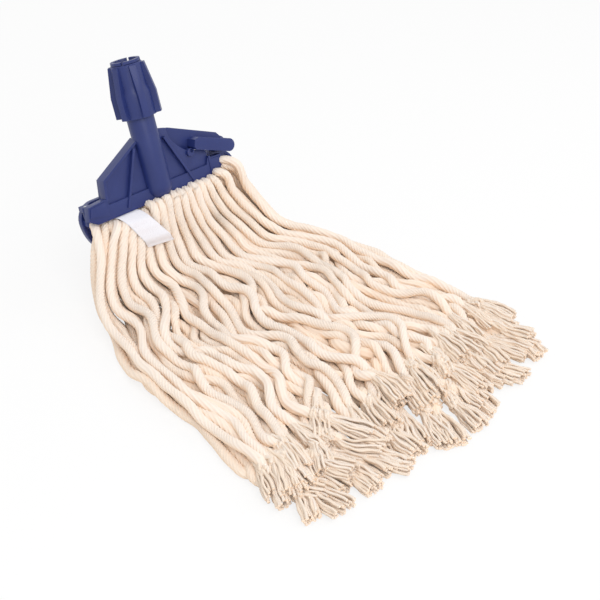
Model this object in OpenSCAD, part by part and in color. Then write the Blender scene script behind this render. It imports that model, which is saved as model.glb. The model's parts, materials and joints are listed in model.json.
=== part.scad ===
// String mop: a plastic clip with a handle socket, holding a head of twisted cotton yarn.
// Millimetres, +Z up. The clip is drawn in its own frame: x along the jaw, y to the back,
// z up the socket, with the middle of the jaw's lower edge at the origin.

/* [Stance] */
// How far the socket leans back from upright, in degrees
lean = 18; // [5:1:30]
// Height of the jaw's lower edge above the floor
jaw_height = 100; // [88:1:130]

/* [Handle socket] */
// Diameter of the pole that the socket takes
handle_d = 24; // [20:0.5:26]
// Wall of the socket tube
socket_wall = 3; // [2.5:0.5:4]
// Height of the socket's mouth above the jaw's lower edge
socket_h = 154; // [146:1:175]
// Width of the slots that split the mouth into gripping fingers
slot_w = 2.5; // [1.5:0.5:3]
// Length of those slots
slot_h = 40; // [20:1:46]
// Height of the lip that stands out of the collar
lip_h = 3; // [2.5:0.5:6]

/* [Collar] */
// Height of the screw collar
collar_h = 57; // [50:1:60]
// Diameter over the grips at the collar's lower end
collar_d = 49.5; // [46:0.5:54]
// Number of grips round the collar
grip_count = 6; // [4:1:8]
// Width of one grip
grip_w = 7.5; // [6:0.5:10]
// Wall of the collar between its grips
collar_wall = 3.4; // [2.5:0.1:4.5]
// Gap between the collar and the socket's thread
collar_gap = 0.3; // [0.3:0.1:0.6]

/* [Front jaw] */
// Reach of the jaw past the headband's half width
jaw_end = 15; // [14:0.5:18]
// Height of the clamp bar
bar_h = 16; // [15:0.5:19]
// How far the clamp bar stands out in front of the wings
bar_front = 3; // [2:0.5:5]
// Depth from the wings' front face to the clamp face
bar_back = 6; // [5:0.5:8]
// Thickness of the wings
panel_t = 3; // [2:0.2:3.2]
// Height at which the wings meet the socket
wing_h = 72; // [68:1:78]
// Sideways reach of the left wing's shoulder
shoulder_x = 65; // [58:1:68]
// Height of the left wing's shoulder
shoulder_h = 42; // [39:1:46]
// Thickness of the rim round the left wing
rim_t = 3; // [2:0.5:4]
// Depth of that rim behind the wing's front face
rim_back = 12; // [8:1:16]
// How far the slanted ribs stand out of the wings
rib_front = 5; // [3:0.5:6]

/* [Rear jaw] */
// Height of the rear jaw's frame above the jaw's lower edge
frame_top = 20; // [18:0.5:22]
// Radius of the frame's upper corners
frame_r = 20; // [16:0.5:22]
// Radius of the frame's bowed sides
bow_r = 51; // [44:1:60]
// Radius of the frame's lower corners
foot_r = 12; // [10:0.5:16]
// Width of the frame's band
band_w = 8; // [6:0.5:9]
// Depth of the frame's band
band_t = 7; // [5:0.5:9]
// Reach of the frame past the jaw on the latch side
frame_out = 26; // [24:0.5:30]
// How far the frame's hinge side stays inside the jaw's end
frame_in = 3; // [0:0.5:4]
// Thickness of the rear clamp plate
plate_t = 3.2; // [2.5:0.1:4]
// Gap between the rear clamp plate and the headband
plate_gap = 0.3; // [0.3:0.1:0.8]
// Diameter of the hinge pin
hinge_d = 3.5; // [3:0.5:4]
// Gap round the hinge pin and the latch pin in the parts that turn
turn_gap = 0.06; // [0.02:0.01:0.1]
// Gap between the hinge's knuckles
knuckle_gap = 0.4; // [0.3:0.1:0.8]

/* [Latch lever] */
// Tilt of the thumb bar, in degrees
lever_tilt = 20; // [17:1:23]
// Length of the thumb bar from its pin
lever_len = 47.5; // [44:0.5:48]
// Height of the thumb bar
lever_t = 14; // [12:0.5:14.5]
// Reach of the thumb bar in front of the wings
lever_front = 8; // [5:0.5:11]
// Diameter of the latch pin
latch_d = 5; // [4:0.5:6]
// Reach of the latch pin past the jaw's end
pin_out = 5; // [4:0.5:8]
// Height of the latch pin above the clamp bar
pin_up = 13; // [12:0.5:15]
// Thickness of the finger plate behind the wing
finger_t = 4.4; // [3:0.2:5]
// Gap between the lever and the parts it moves past
lever_gap = 0.6; // [0.4:0.1:1]

/* [Mop head] */
// Width of the headband
headband_w = 158; // [145:1:168]
// Middle of the headband along the jaw, towards the latch
head_x = 4; // [2:0.5:6]
// Thickness of the headband's woven tape
tape_t = 0.8; // [0.6:0.1:1.2]
// Thickness of the stitching thread
thread_t = 0.5; // [0.4:0.1:0.8]
// Number of strands in one row
strand_count = 18; // [16:1:20]
// Length of a strand along the floor row
strand_len = 494; // [460:1:520]
// Most by which a strand is shorter than that
strand_stagger = 30; // [0:1:40]
// Length below the jaw over which a squeezed strand swells to its full thickness
swell_len = 45; // [40:1:55]
// How much sooner each row ends than the row under it
row_step = 15; // [8:1:20]
// Thickness of one strand
strand_t = 6.4; // [5.6:0.1:6.6]
// Width of one strand as a share of the room it has in the headband
strand_fill = 0.94; // [0.85:0.01:0.96]
// Depth of one row where the headband squeezes it
root_pitch = 3; // [2.8:0.1:3.2]
// Depth of one row where the strands lie on the floor
flat_pitch = 6.8; // [6.7:0.1:9.5]
// Radius of the lowest row's bend at the floor
bend_r = 74; // [66:1:80]
// Width of the strands' spread at their ends
spread_w = 364; // [340:1:380]
// Sideways drift of the strands' ends towards the latch
drift = 28; // [0:1:32]
// How early the strands fan out below the jaw
fan_power = 3.5; // [2:0.1:4]
// Sideways sway of the strands along the floor
sway = 5; // [0:0.5:7]

/* [Tag] */
// Width of the cloth tag
tag_w = 28; // [20:1:32]
// Length of the cloth tag below the jaw
tag_len = 44; // [30:1:50]
// Thickness of the cloth tag
tag_t = 0.4; // [0.3:0.05:0.45]
// Middle of the tag along the jaw
tag_x = -49; // [-54:1:-40]
// Sideways slant of the hanging tag, towards the latch
tag_slant = 0.55; // [0:0.05:0.7]

/* [Hidden] */
$fn = 48;

// Socket and collar
bore_r = handle_d / 2;
socket_r = bore_r + socket_wall;
finger_r = socket_r - 0.4;
lip_r = finger_r + 1.4;
thread_r = socket_r + 0.8;
thread_pitch = 4;
collar_top = socket_h - lip_h - 0.5;
collar_z = collar_top - collar_h;
collar_bore_r = thread_r + collar_gap;
collar_mouth_r = finger_r + collar_gap;
collar_r = collar_bore_r + collar_wall;
// Height at which the socket tube stands on the front jaw, inside the collar's skirt
split_h = collar_z + 3;
bore_floor = split_h + 3;

// Front jaw outline: left half as x counted outwards
half_w = headband_w / 2 + jaw_end;
hinge_end = [[half_w - 10, 0], [half_w, 6], [half_w - 3, bar_h + 5]];
latch_end = [[half_w - 17, 0], [half_w - 8, 10], [half_w - 6, bar_h + 6]];
block_x = shoulder_x + 4;
block_h = bar_h + 7;
block_front = bar_front + 1;
cradle_p = [shoulder_x - 15.5, shoulder_h - 6];
cradle_r = 4.5;
ear = [socket_r + 12, wing_h - 0.5];

// Squeezed yarn and tape, front to back
tape_front = bar_back + thread_t;
mat_front = tape_front + tape_t;
row_count = 4;
mat_back = mat_front + row_count * root_pitch;
tape_back = mat_back + tape_t;
clamp_back = tape_back + thread_t;
mat_bottom = 1;
mat_top = bar_h - tape_t - 0.4;

// Rear jaw
plate_front = clamp_back + plate_gap;
band_front = plate_front + 0.6;
band_back = band_front + band_t;
frame_right = half_w + frame_out;
frame_left = half_w - frame_in;
bow_turn = 40;
hinge_x = -(half_w - 8.5);
hinge_y = bar_back + 8;
hinge_r = hinge_d / 2;
knuckle_r = hinge_r + 2.6;
lug_bottom = 4;
lug_top = bar_h - 3.3;
eye_h = 6;

// Latch lever
pin_p = [half_w + pin_out, bar_h + pin_up];
latch_r = latch_d / 2;
lever_r = lever_t / 2;
finger_front = bar_back + 2 * lever_gap;
lever_back = finger_front + finger_t;
eye_r = lever_r + 2.5;
eye_front = lever_back + lever_gap;
// Depth of plastic left in front of the latch pin
pin_cover = 3;

// Yarn layout
column_pitch = headband_w / strand_count;
strand_w = column_pitch * strand_fill;
rear_y = mat_back - root_pitch / 2;
front_y = mat_front + root_pitch / 2;
floor_drop = (jaw_height - strand_t / 2 - rear_y * sin(lean) - bend_r * (1 - sin(lean))) / cos(lean);
bend_end = floor_drop + bend_r * (90 - lean) * PI / 180;
// Rings of a strand: one in the headband, then along the swell, down to the floor and along the floor
swell_rings = 4;
bend_rings = 4;
floor_rings = 6;
ring_count = 2 + swell_rings + bend_rings + floor_rings;
spread = spread_w / headband_w;
hank_first = [for (h = [0 : 4]) round(h * strand_count / 4)];

// Eases from 0 to 1 between t = 0 and t = 1
function ease(t) = let (u = min(1, max(0, t))) u * u * (3 - 2 * u);

// Heading of the lowest row at length s below the jaw, in degrees from straight down
function heading(s) = s <= floor_drop ? lean : min(90, lean + (s - floor_drop) / bend_r * 180 / PI);

// Normal of the lowest row at length s, towards the rows that lie on it, as [y, z]
function normal_at(s) = [-cos(heading(s)), sin(heading(s))];

// Point of the lowest row at length s, as [y, z] from the jaw's lower edge
function floor_point(s) =
    let (root = rear_y * [cos(lean), -sin(lean)])
    let (down = [-sin(lean), -cos(lean)])
    let (centre = root + down * floor_drop + bend_r * [-cos(lean), sin(lean)])
    let (run = max(0, s - floor_drop - bend_r * (90 - lean) * PI / 180))
    s <= floor_drop ? root + down * s : centre - bend_r * normal_at(s) + [-run, 0];

// Distance between rows at length s: squeezed in the jaws, full where the strands lie on the floor
function row_pitch(s) = root_pitch + (flat_pitch - root_pitch) * ease(s / swell_len);

// Point of row j at length s; row 0 is at the front
function row_point(j, s) = floor_point(s) + normal_at(s) * (row_count - 1 - j) * row_pitch(s);

// Length of the longest strand in row j
function row_len(j) = strand_len - (row_count - 1 - j) * row_step;

// Depth of one strand at length s
function strand_depth(s) = root_pitch - 0.4 + (strand_t - root_pitch + 0.4) * ease(s / swell_len);

// Repeatable number from 0 to 1 for strand i of row j
function jitter(i, j) = let (v = sin(i * 127.1 + j * 311.7) * 4375.85) v - floor(v);

// Sideways sway of row j at length s
function row_sway(i, j, s) =
    sway * ease((s - 90) / 110) * sin(s * (2.1 + 0.3 * j) + j * 137 + i * 9);

// Place of strand i of row j at length s, from the jaw's lower edge
function strand_point(i, j, s) =
    let (root_x = (i + 0.5 - strand_count / 2) * column_pitch)
    let (fan = 1 - pow(1 - min(1, max(0, s) / strand_len), fan_power))
    let (x = head_x + root_x * (1 + (spread - 1) * fan) + (drift - head_x) * fan + row_sway(i, j, s))
    let (p = row_point(j, s)) [x, p[0], p[1]];

// Length at ring k of strand i of row j: the rows share their rings down to the floor
function ring_s(i, j, k) =
    let (bend_k = 1 + swell_rings)
    let (floor_k = bend_k + bend_rings)
    let (strand_end = row_len(j) - strand_stagger * jitter(i, j))
    k == 0 ? -5
    : k <= bend_k ? swell_len * (k - 1) / swell_rings
    : k <= floor_k ? swell_len + (bend_end - swell_len) * (k - bend_k) / bend_rings
    : bend_end + (strand_end - bend_end) * (k - floor_k) / floor_rings;

// Four corners of strand i of row j at ring k
function strand_ring(i, j, k) =
    let (s = ring_s(i, j, k))
    let (c = strand_point(i, j, s))
    let (n = normal_at(s) * strand_depth(s) / 2)
    let (w = strand_w / 2 + 1.6 * ease((k - ring_count + 2.5) / 1.5))
    [for (q = [[-1, -1], [1, -1], [1, 1], [-1, 1]]) c + [q[0] * w, q[1] * n[0], q[1] * n[1]]];

// Reach of all strands, used to centre the part over its origin
tips = [for (j = [0 : row_count - 1], i = [0 : strand_count - 1], k = [0 : ring_count - 1])
    each strand_ring(i, j, k)];
yarn_left = min([for (p = tips) p[0]]);
yarn_right = max([for (p = tips) p[0]]);
yarn_front = min([for (p = tips) p[1]]);
clip_back = max(collar_top * sin(lean) + collar_r * cos(lean), socket_h * sin(lean) + lip_r * cos(lean));
origin_x = -(yarn_left + yarn_right) / 2;
origin_y = -(yarn_front + clip_back) / 2;

blue = [0.10, 0.17, 0.45];
steel = [0.7, 0.7, 0.72];
cotton = [0.93, 0.89, 0.79];

// Stands the mop on the floor over its origin
module on_floor() {
    translate([origin_x, origin_y, jaw_height]) children();
}

// Puts a piece drawn in the clip's frame into its lean
module in_clip() {
    on_floor() rotate([-lean, 0, 0]) children();
}

// Plate between depths y0 and y1 with an outline in x and z
module plate(outline, y0, y1) {
    translate([0, y1, 0]) rotate([90, 0, 0]) linear_extrude(y1 - y0) polygon(outline);
}

// Round bar along y between depths y0 and y1
module boss(p, r, y0, y1) {
    translate([p[0], y1, p[1]]) rotate([90, 0, 0]) cylinder(r = r, h = y1 - y0);
}

// Straight wall of thickness t from point a to point b
module wall(a, b, t, y0, y1) {
    d = b - a;
    translate([a[0], 0, a[1]]) rotate([0, -atan2(d[1], d[0]), 0])
        translate([0, y0, -t / 2]) cube([norm(d), y1 - y0, t]);
}

// Unit normal to the right of the way from a to b
function side_of(a, b) = [b[1] - a[1], a[0] - b[0]] / norm(b - a);

// Corner b of a line a, b, c moved sideways by t
function moved_corner(a, b, c, t) =
    let (m = side_of(a, b), n = side_of(b, c)) b + t * (m + n) / (1 + m * n);

// Outline of a strip of width t along the right of a line of points
function strip(points, t) =
    let (last = len(points) - 1)
    let (ends = [points[0] + t * side_of(points[0], points[1]),
        points[last] + t * side_of(points[last - 1], points[last])])
    let (inner = [for (k = [1 : 1 : last - 1]) moved_corner(points[k - 1], points[k], points[k + 1], t)])
    let (back = concat([ends[0]], inner, [ends[1]]))
    concat(points, [for (k = [last : -1 : 0]) back[k]]);

// Turns an outline of the right side into one of the left side
function mirrored(points) = [for (p = points) [-p[0], p[1]]];

// Points of a curve from a to b that sags by the given amount
function sagging(a, b, sag) =
    let (m = (a + b) / 2 + side_of(a, b) * 2 * sag)
    [for (t = [0 : 0.125 : 1]) a * (1 - t) * (1 - t) + m * 2 * t * (1 - t) + b * t * t];

// Foot of the socket, moulded on the jaw
module socket_foot() {
    translate([0, 0, socket_r]) sphere(r = socket_r);
    translate([0, 0, socket_r]) cylinder(r = socket_r, h = split_h - socket_r);
}

module socket_tube() {
    color(blue) in_clip() difference() {
        union() {
            translate([0, 0, split_h]) cylinder(r = socket_r, h = 5);
            translate([0, 0, split_h]) cylinder(r = finger_r, h = socket_h - split_h);
            translate([0, 0, socket_h - lip_h]) cylinder(r = lip_r, h = lip_h);
            for (k = [0 : 3])
                translate([0, 0, collar_z + 12 + k * thread_pitch])
                    rotate_extrude()
                        polygon([[bore_r + 0.5, -1.4], [finger_r, -1.4], [thread_r, -0.5],
                            [thread_r, 0.5], [finger_r, 1.4], [bore_r + 0.5, 1.4]]);
        }
        translate([0, 0, bore_floor]) cylinder(r = bore_r, h = socket_h);
        for (a = [45, 135])
            rotate([0, 0, a])
                translate([-socket_r * 2, -slot_w / 2, socket_h - slot_h])
                    cube([socket_r * 4, slot_w, slot_h + 1]);
    }
}

// Raised face of an end block, inside the outline of its end
function raised(end) =
    [[block_x, bar_h * 0.3], [end[1][0] - 2, bar_h * 0.6], end[2] - [2, 2], [block_x + 1, block_h - 2]];

module clamp_bar() {
    top = [[block_x, block_h], [block_x - 3, bar_h]];
    hinge_side = mirrored(concat(hinge_end, top));
    plate(concat(latch_end, top, [for (k = [4 : -1 : 0]) hinge_side[k]]), -bar_front, bar_back);
    plate(mirrored(raised(hinge_end)), -block_front, 0);
    plate(raised(latch_end), -block_front, 0);
}

module left_wing() {
    shoulder = [-shoulder_x, shoulder_h];
    waist = [-block_x + 0.4, block_h - 3];
    root = [-socket_r + 3, wing_h];
    plate([[0, bar_h - 1], [-block_x, bar_h - 1], waist, shoulder, root, [0, wing_h]], 0, panel_t);
    plate(strip([waist, shoulder, root], rim_t), -bar_front, rim_back);
    wall([-socket_r - 5, wing_h - 8.5], [-shoulder_x * 0.69, bar_h * 0.3], 2.6, -rib_front, 1);
}

// Point of the right wing's edge at x, just under the resting thumb bar
function under_bar(x) =
    [x, pin_p[1] - (lever_r + lever_gap + 0.4) / cos(lever_tilt) + (pin_p[0] - x) * tan(lever_tilt)];

module right_wing() {
    edge = sagging(ear + [1.5, -11], cradle_p + [-3, 3.5], 2);
    plate(concat([[0, bar_h - 1]], [[0, wing_h]], [[socket_r, ear[1] + 3], ear], edge,
        [under_bar(cradle_p[0] + 4.5), under_bar(block_x + 2), [block_x + 2, bar_h - 1]]), 0, panel_t);
    boss(cradle_p, cradle_r, -bar_front, panel_t);
    wall([block_x + 2, bar_h * 0.9], [block_x + 2, block_h + 2], 2.4, -block_front, bar_back);
    wall([socket_r + 5, wing_h - 8.5], [shoulder_x * 0.69, bar_h * 0.3], 2.6, -rib_front, 1);
}

module hinge_lug() {
    translate([hinge_x, hinge_y, lug_bottom]) cylinder(r = knuckle_r, h = lug_top - lug_bottom);
    translate([hinge_x - knuckle_r + 1, bar_back - 1, lug_bottom])
        cube([2 * knuckle_r - 2, hinge_y - bar_back + 1, lug_top - lug_bottom]);
}

module front_jaw() {
    color(blue) in_clip() difference() {
        union() {
            socket_foot();
            clamp_bar();
            left_wing();
            right_wing();
            hinge_lug();
        }
        translate([head_x - headband_w / 2, bar_back, -1]) cube([headband_w, socket_r + 5, bar_h + 1.6]);
        boss(cradle_p + [1.5, 1.5], cradle_r - 2.5, -bar_front - 1, -0.5);
        translate([hinge_x, hinge_y, lug_bottom - 1]) cylinder(r = hinge_r, h = lug_top - lug_bottom + 2);
    }
}

module screw_collar() {
    grip = [[bore_r, 0], [collar_d / 2, 0.8], [collar_d / 2, collar_h * 0.42],
        [collar_r, collar_h - 1.4], [bore_r, collar_h - 1.4]];
    color(blue) in_clip() translate([0, 0, collar_z]) difference() {
        union() {
            rotate_extrude()
                polygon([[bore_r, 0], [collar_r, 0], [collar_r, collar_h * 0.45],
                    [collar_r - 1.8, collar_h * 0.56], [collar_r - 2.4, collar_h - 1],
                    [collar_r - 3.2, collar_h], [bore_r, collar_h]]);
            for (k = [0 : grip_count - 1])
                rotate([0, 0, k * 360 / grip_count + 18])
                    translate([0, grip_w / 2, 0]) rotate([90, 0, 0]) linear_extrude(grip_w) polygon(grip);
        }
        rotate_extrude()
            polygon([[0, -1], [collar_bore_r, -1], [collar_bore_r, collar_h * 0.75],
                [collar_mouth_r, collar_h - 2], [collar_mouth_r, collar_h + 1], [0, collar_h + 1]]);
    }
}

// Points of an arc about c, from angle a0 to angle a1
function arc(c, r, a0, a1) = [for (t = [0 : 0.125 : 1]) let (a = a0 + (a1 - a0) * t) c + r * [cos(a), sin(a)]];

// One side of the rear frame's edge, from top to foot, with its side at x counted outwards
function frame_side(x, inset) =
    let (corner = [x - frame_r, frame_top - frame_r])
    let (bow = [x - bow_r, corner[1]])
    let (foot = bow + (bow_r - foot_r) * [cos(bow_turn), -sin(bow_turn)])
    concat(arc(corner, frame_r - inset, 90, 0), arc(bow, bow_r - inset, -bow_turn / 8, -bow_turn),
        arc(foot, foot_r - inset, -bow_turn - 5, -90));

// Closed edge of the rear frame
function frame_edge(inset) =
    let (left = mirrored(frame_side(frame_left, inset)))
    concat(frame_side(frame_right, inset), [for (k = [len(left) - 1 : -1 : 0]) left[k]]);

// Rounded band of the rear frame between two insets
module frame_band(inset0, inset1, y0, y1) {
    difference() {
        plate(frame_edge(inset0), y0, y1);
        plate(frame_edge(inset1), y0 - 1, y1 + 1);
    }
}

module hinge_eye(z) {
    translate([hinge_x, hinge_y, z]) cylinder(r = knuckle_r, h = eye_h);
    translate([hinge_x - knuckle_r + 1, hinge_y, z])
        cube([2 * knuckle_r + 0.5, band_front + 2 - hinge_y, eye_h]);
}

module rear_jaw() {
    foot_h = frame_top - frame_r - (bow_r - foot_r) * sin(bow_turn) - foot_r;
    brace_pitch = headband_w / 6.5;
    color(blue) in_clip() difference() {
        union() {
            difference() {
                frame_band(0, band_w, band_front, band_back);
                frame_band(band_w * 0.36, band_w * 0.64, band_front - 1, band_front + 1.4);
            }
            translate([head_x - headband_w / 2, plate_front, 1]) cube([headband_w + 8, plate_t, bar_h - 1]);
            for (k = [-2 : 3])
                translate([k * brace_pitch - 1.5, plate_front + 1, foot_h + 2])
                    cube([3, band_back - plate_front - 2, frame_top - foot_h - 4]);
            boss(pin_p, eye_r, eye_front, band_back);
            translate([pin_p[0] - eye_r, band_front, frame_top - 7]) cube([2 * eye_r, band_t, pin_p[1] - frame_top + 7]);
            hinge_eye(lug_top + knuckle_gap);
            hinge_eye(lug_bottom - knuckle_gap - eye_h);
        }
        boss(pin_p, latch_r, eye_front - 1, band_back + 1);
        translate([hinge_x, hinge_y, -frame_r]) cylinder(r = hinge_r + turn_gap, h = 3 * frame_r);
    }
}

module hinge_pin() {
    z0 = lug_bottom - knuckle_gap - eye_h - 0.5;
    z1 = lug_top + knuckle_gap + eye_h + 0.5;
    color(steel) in_clip() translate([hinge_x, hinge_y, z0]) cylinder(r = hinge_r, h = z1 - z0);
}

module latch_lever() {
    tip = [-lever_len, lever_r];
    nose = [ear[0] - 1, ear[1] - 6];
    brow = [ear[0] + 9, ear[1] - 3];
    crest = [half_w + 1, pin_p[1] + 1.1 * lever_t];
    heel = [half_w + pin_out + 1, pin_p[1] + 0.65 * lever_t];
    inner = pin_p + [-0.75 * lever_len, 0.55 * lever_t];
    color(blue) in_clip() difference() {
        union() {
            translate([pin_p[0], 0, pin_p[1]]) rotate([0, lever_tilt, 0]) {
                plate([[0, -lever_r], [tip[0] + 3, -lever_r], [tip[0], -lever_r + 3], [tip[0], lever_r - 3],
                    [tip[0] + 5, lever_r], [0, lever_r]], -lever_front, lever_back - 1);
                boss([0, 0], lever_r + 0.35, -lever_front, lever_back);
            }
            plate([nose, nose + [1.5, 4.5], brow, crest, heel, pin_p + [2, 4], inner,
                cradle_p + [6, -4], [brow[0] - 1, cradle_p[1] + 7]], finger_front, lever_back);
            wall(brow - [1, 1.9], crest - [1, 1.9], 3, finger_front + 0.8, lever_back + 3);
        }
        boss(pin_p, latch_r + turn_gap, pin_cover - lever_front, lever_back + 5);
    }
}

module latch_pin() {
    color(steel) in_clip() {
        boss(pin_p, latch_r, pin_cover - lever_front + lever_gap, band_back);
    }
}

module headband() {
    color(cotton) in_clip() difference() {
        translate([head_x - headband_w / 2, tape_front, 2])
            cube([headband_w, tape_back - tape_front, mat_top + tape_t - 2]);
        translate([-headband_w, mat_front, 0]) cube([headband_w * 2, mat_back - mat_front, mat_top]);
    }
}

module stitching() {
    color(cotton) in_clip()
        for (y = [bar_back, tape_back], z = [bar_h * 0.3, bar_h * 0.5, bar_h * 0.7])
            translate([head_x - headband_w / 2 + 3, y, z]) cube([headband_w - 6, thread_t, 1]);
}

// Four corners of the tag at length s below the jaw
function tag_ring(s) =
    let (lift = s <= 0 ? front_y - bar_back - 0.25 : strand_depth(s) / 2 + 1.2)
    let (n = normal_at(s))
    let (c = row_point(0, s) + n * lift)
    let (x = tag_x + tag_slant * max(0, s))
    [for (q = [[-1, -1], [1, -1], [1, 1], [-1, 1]])
        let (p = c + q[1] * n * tag_t / 2) [x + q[0] * tag_w / 2, p[0], p[1]]];

// Joins rings of four corners into one closed solid
module ringed(rings) {
    count = len(rings);
    sides = [for (k = [0 : count - 2], q = [0 : 3]) let (a = 4 * k + q, b = 4 * k + (q + 1) % 4)
        each [[a, b, b + 4], [a, b + 4, a + 4]]];
    end = 4 * (count - 1);
    caps = [[0, 2, 1], [0, 3, 2], [end, end + 1, end + 2], [end, end + 2, end + 3]];
    polyhedron([for (r = rings) each r], [for (f = concat(sides, caps)) [f[2], f[1], f[0]]]);
}

module cloth_tag() {
    color("white") on_floor() ringed([for (s = [-3, 0, 6, 12, 20, 28, 36, tag_len]) tag_ring(s)]);
}

// Hank h of row j: its strands and the slice of squeezed yarn that they grow from
module hank(j, h) {
    first = hank_first[h];
    last = hank_first[h + 1] - 1;
    x0 = head_x + (first - strand_count / 2) * column_pitch;
    color(cotton) union() {
        in_clip() translate([x0, mat_front + j * root_pitch, mat_bottom])
            cube([(last - first + 1) * column_pitch, root_pitch, mat_top - mat_bottom]);
        on_floor()
            for (i = [first : last])
                ringed([for (k = [0 : ring_count - 1]) strand_ring(i, j, k)]);
    }
}

module yarn_front_1() { hank(0, 0); }
module yarn_front_2() { hank(0, 1); }
module yarn_front_3() { hank(0, 2); }
module yarn_front_4() { hank(0, 3); }
module yarn_upper_1() { hank(1, 0); }
module yarn_upper_2() { hank(1, 1); }
module yarn_upper_3() { hank(1, 2); }
module yarn_upper_4() { hank(1, 3); }
module yarn_lower_1() { hank(2, 0); }
module yarn_lower_2() { hank(2, 1); }
module yarn_lower_3() { hank(2, 2); }
module yarn_lower_4() { hank(2, 3); }
module yarn_rear_1() { hank(3, 0); }
module yarn_rear_2() { hank(3, 1); }
module yarn_rear_3() { hank(3, 2); }
module yarn_rear_4() { hank(3, 3); }

front_jaw();
socket_tube();
screw_collar();
rear_jaw();
hinge_pin();
latch_lever();
latch_pin();
headband();
stitching();
cloth_tag();
yarn_front_1();
yarn_front_2();
yarn_front_3();
yarn_front_4();
yarn_upper_1();
yarn_upper_2();
yarn_upper_3();
yarn_upper_4();
yarn_lower_1();
yarn_lower_2();
yarn_lower_3();
yarn_lower_4();
yarn_rear_1();
yarn_rear_2();
yarn_rear_3();
yarn_rear_4();
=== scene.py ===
"""String mop: a hinged plastic clip that grips a sewn head of twisted cotton yarn."""

import json
import logging
import math
from dataclasses import dataclass, field
from enum import Enum

import bmesh
import bpy
import numpy as np
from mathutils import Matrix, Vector
from mathutils.kdtree import KDTree


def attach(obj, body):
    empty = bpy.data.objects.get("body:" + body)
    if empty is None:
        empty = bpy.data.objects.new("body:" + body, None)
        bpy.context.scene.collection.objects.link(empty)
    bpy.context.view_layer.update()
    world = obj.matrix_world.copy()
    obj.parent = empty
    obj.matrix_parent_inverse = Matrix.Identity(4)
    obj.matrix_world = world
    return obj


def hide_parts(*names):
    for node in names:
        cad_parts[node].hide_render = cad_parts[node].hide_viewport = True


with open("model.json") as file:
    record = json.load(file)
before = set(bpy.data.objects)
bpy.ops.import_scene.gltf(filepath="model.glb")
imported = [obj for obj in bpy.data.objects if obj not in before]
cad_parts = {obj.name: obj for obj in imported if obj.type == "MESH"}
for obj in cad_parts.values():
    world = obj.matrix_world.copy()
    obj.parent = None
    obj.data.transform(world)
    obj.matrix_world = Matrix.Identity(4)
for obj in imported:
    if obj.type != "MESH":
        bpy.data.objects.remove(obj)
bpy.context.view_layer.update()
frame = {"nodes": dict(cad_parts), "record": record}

LOG = logging.getLogger("string_mop")
SEED = 20417
MM = 0.001

GOLDEN_ANGLE = 2.39996

SHADER_TREE = "ShaderNodeTree"
GEOMETRY_TREE = "GeometryNodeTree"
FLOAT = "NodeSocketFloat"
INTEGER = "NodeSocketInt"
VECTOR = "NodeSocketVector"
GEOMETRY = "NodeSocketGeometry"
MATERIAL = "NodeSocketMaterial"

Colour = tuple[float, float, float]
Stretch = tuple[float, float]
Node = bpy.types.Node
Socket = bpy.types.NodeSocket
Tree = bpy.types.NodeTree
Piece = bpy.types.Object


class Body(Enum):
    """Moving bodies of the mop."""

    MOP = "mop"
    COLLAR = "collar"
    BACK_CLAMP = "back_clamp"
    LEVER = "lever"


class Slot(Enum):
    """Material slots of the record."""

    PLASTIC = "blue_plastic"
    STEEL = "pin_steel"
    TAPE = "cotton_tape"
    THREAD = "sewing_thread"
    TAG = "tag_cloth"
    YARN = "cotton_yarn"


class Row(Enum):
    """Rows of yarn in the headband, from the front jaw to the rear jaw."""

    FRONT = 0
    UPPER = 1
    LOWER = 2
    REAR = 3


def ease(t: np.ndarray) -> np.ndarray:
    """Eases from 0 to 1 while t goes from 0 to 1."""
    u = np.clip(t, 0.0, 1.0)
    return u * u * (3.0 - 2.0 * u)


def ramp(t: np.ndarray, over: Stretch) -> np.ndarray:
    """Eases from 0 to 1 over a stretch, given as its start and its length."""
    return ease((t - over[0]) / over[1])


def unit(vectors: np.ndarray) -> np.ndarray:
    """Scales vectors along the last axis to length 1."""
    size = np.linalg.norm(vectors, axis=-1, keepdims=True)
    return vectors / np.maximum(size, 1e-12)


def point_tree(points: np.ndarray) -> KDTree:
    """Makes a tree that finds the nearest of the points."""
    tree = KDTree(len(points))
    for k, point in enumerate(points.tolist()):
        tree.insert(point, k)
    tree.balance()
    return tree


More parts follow.
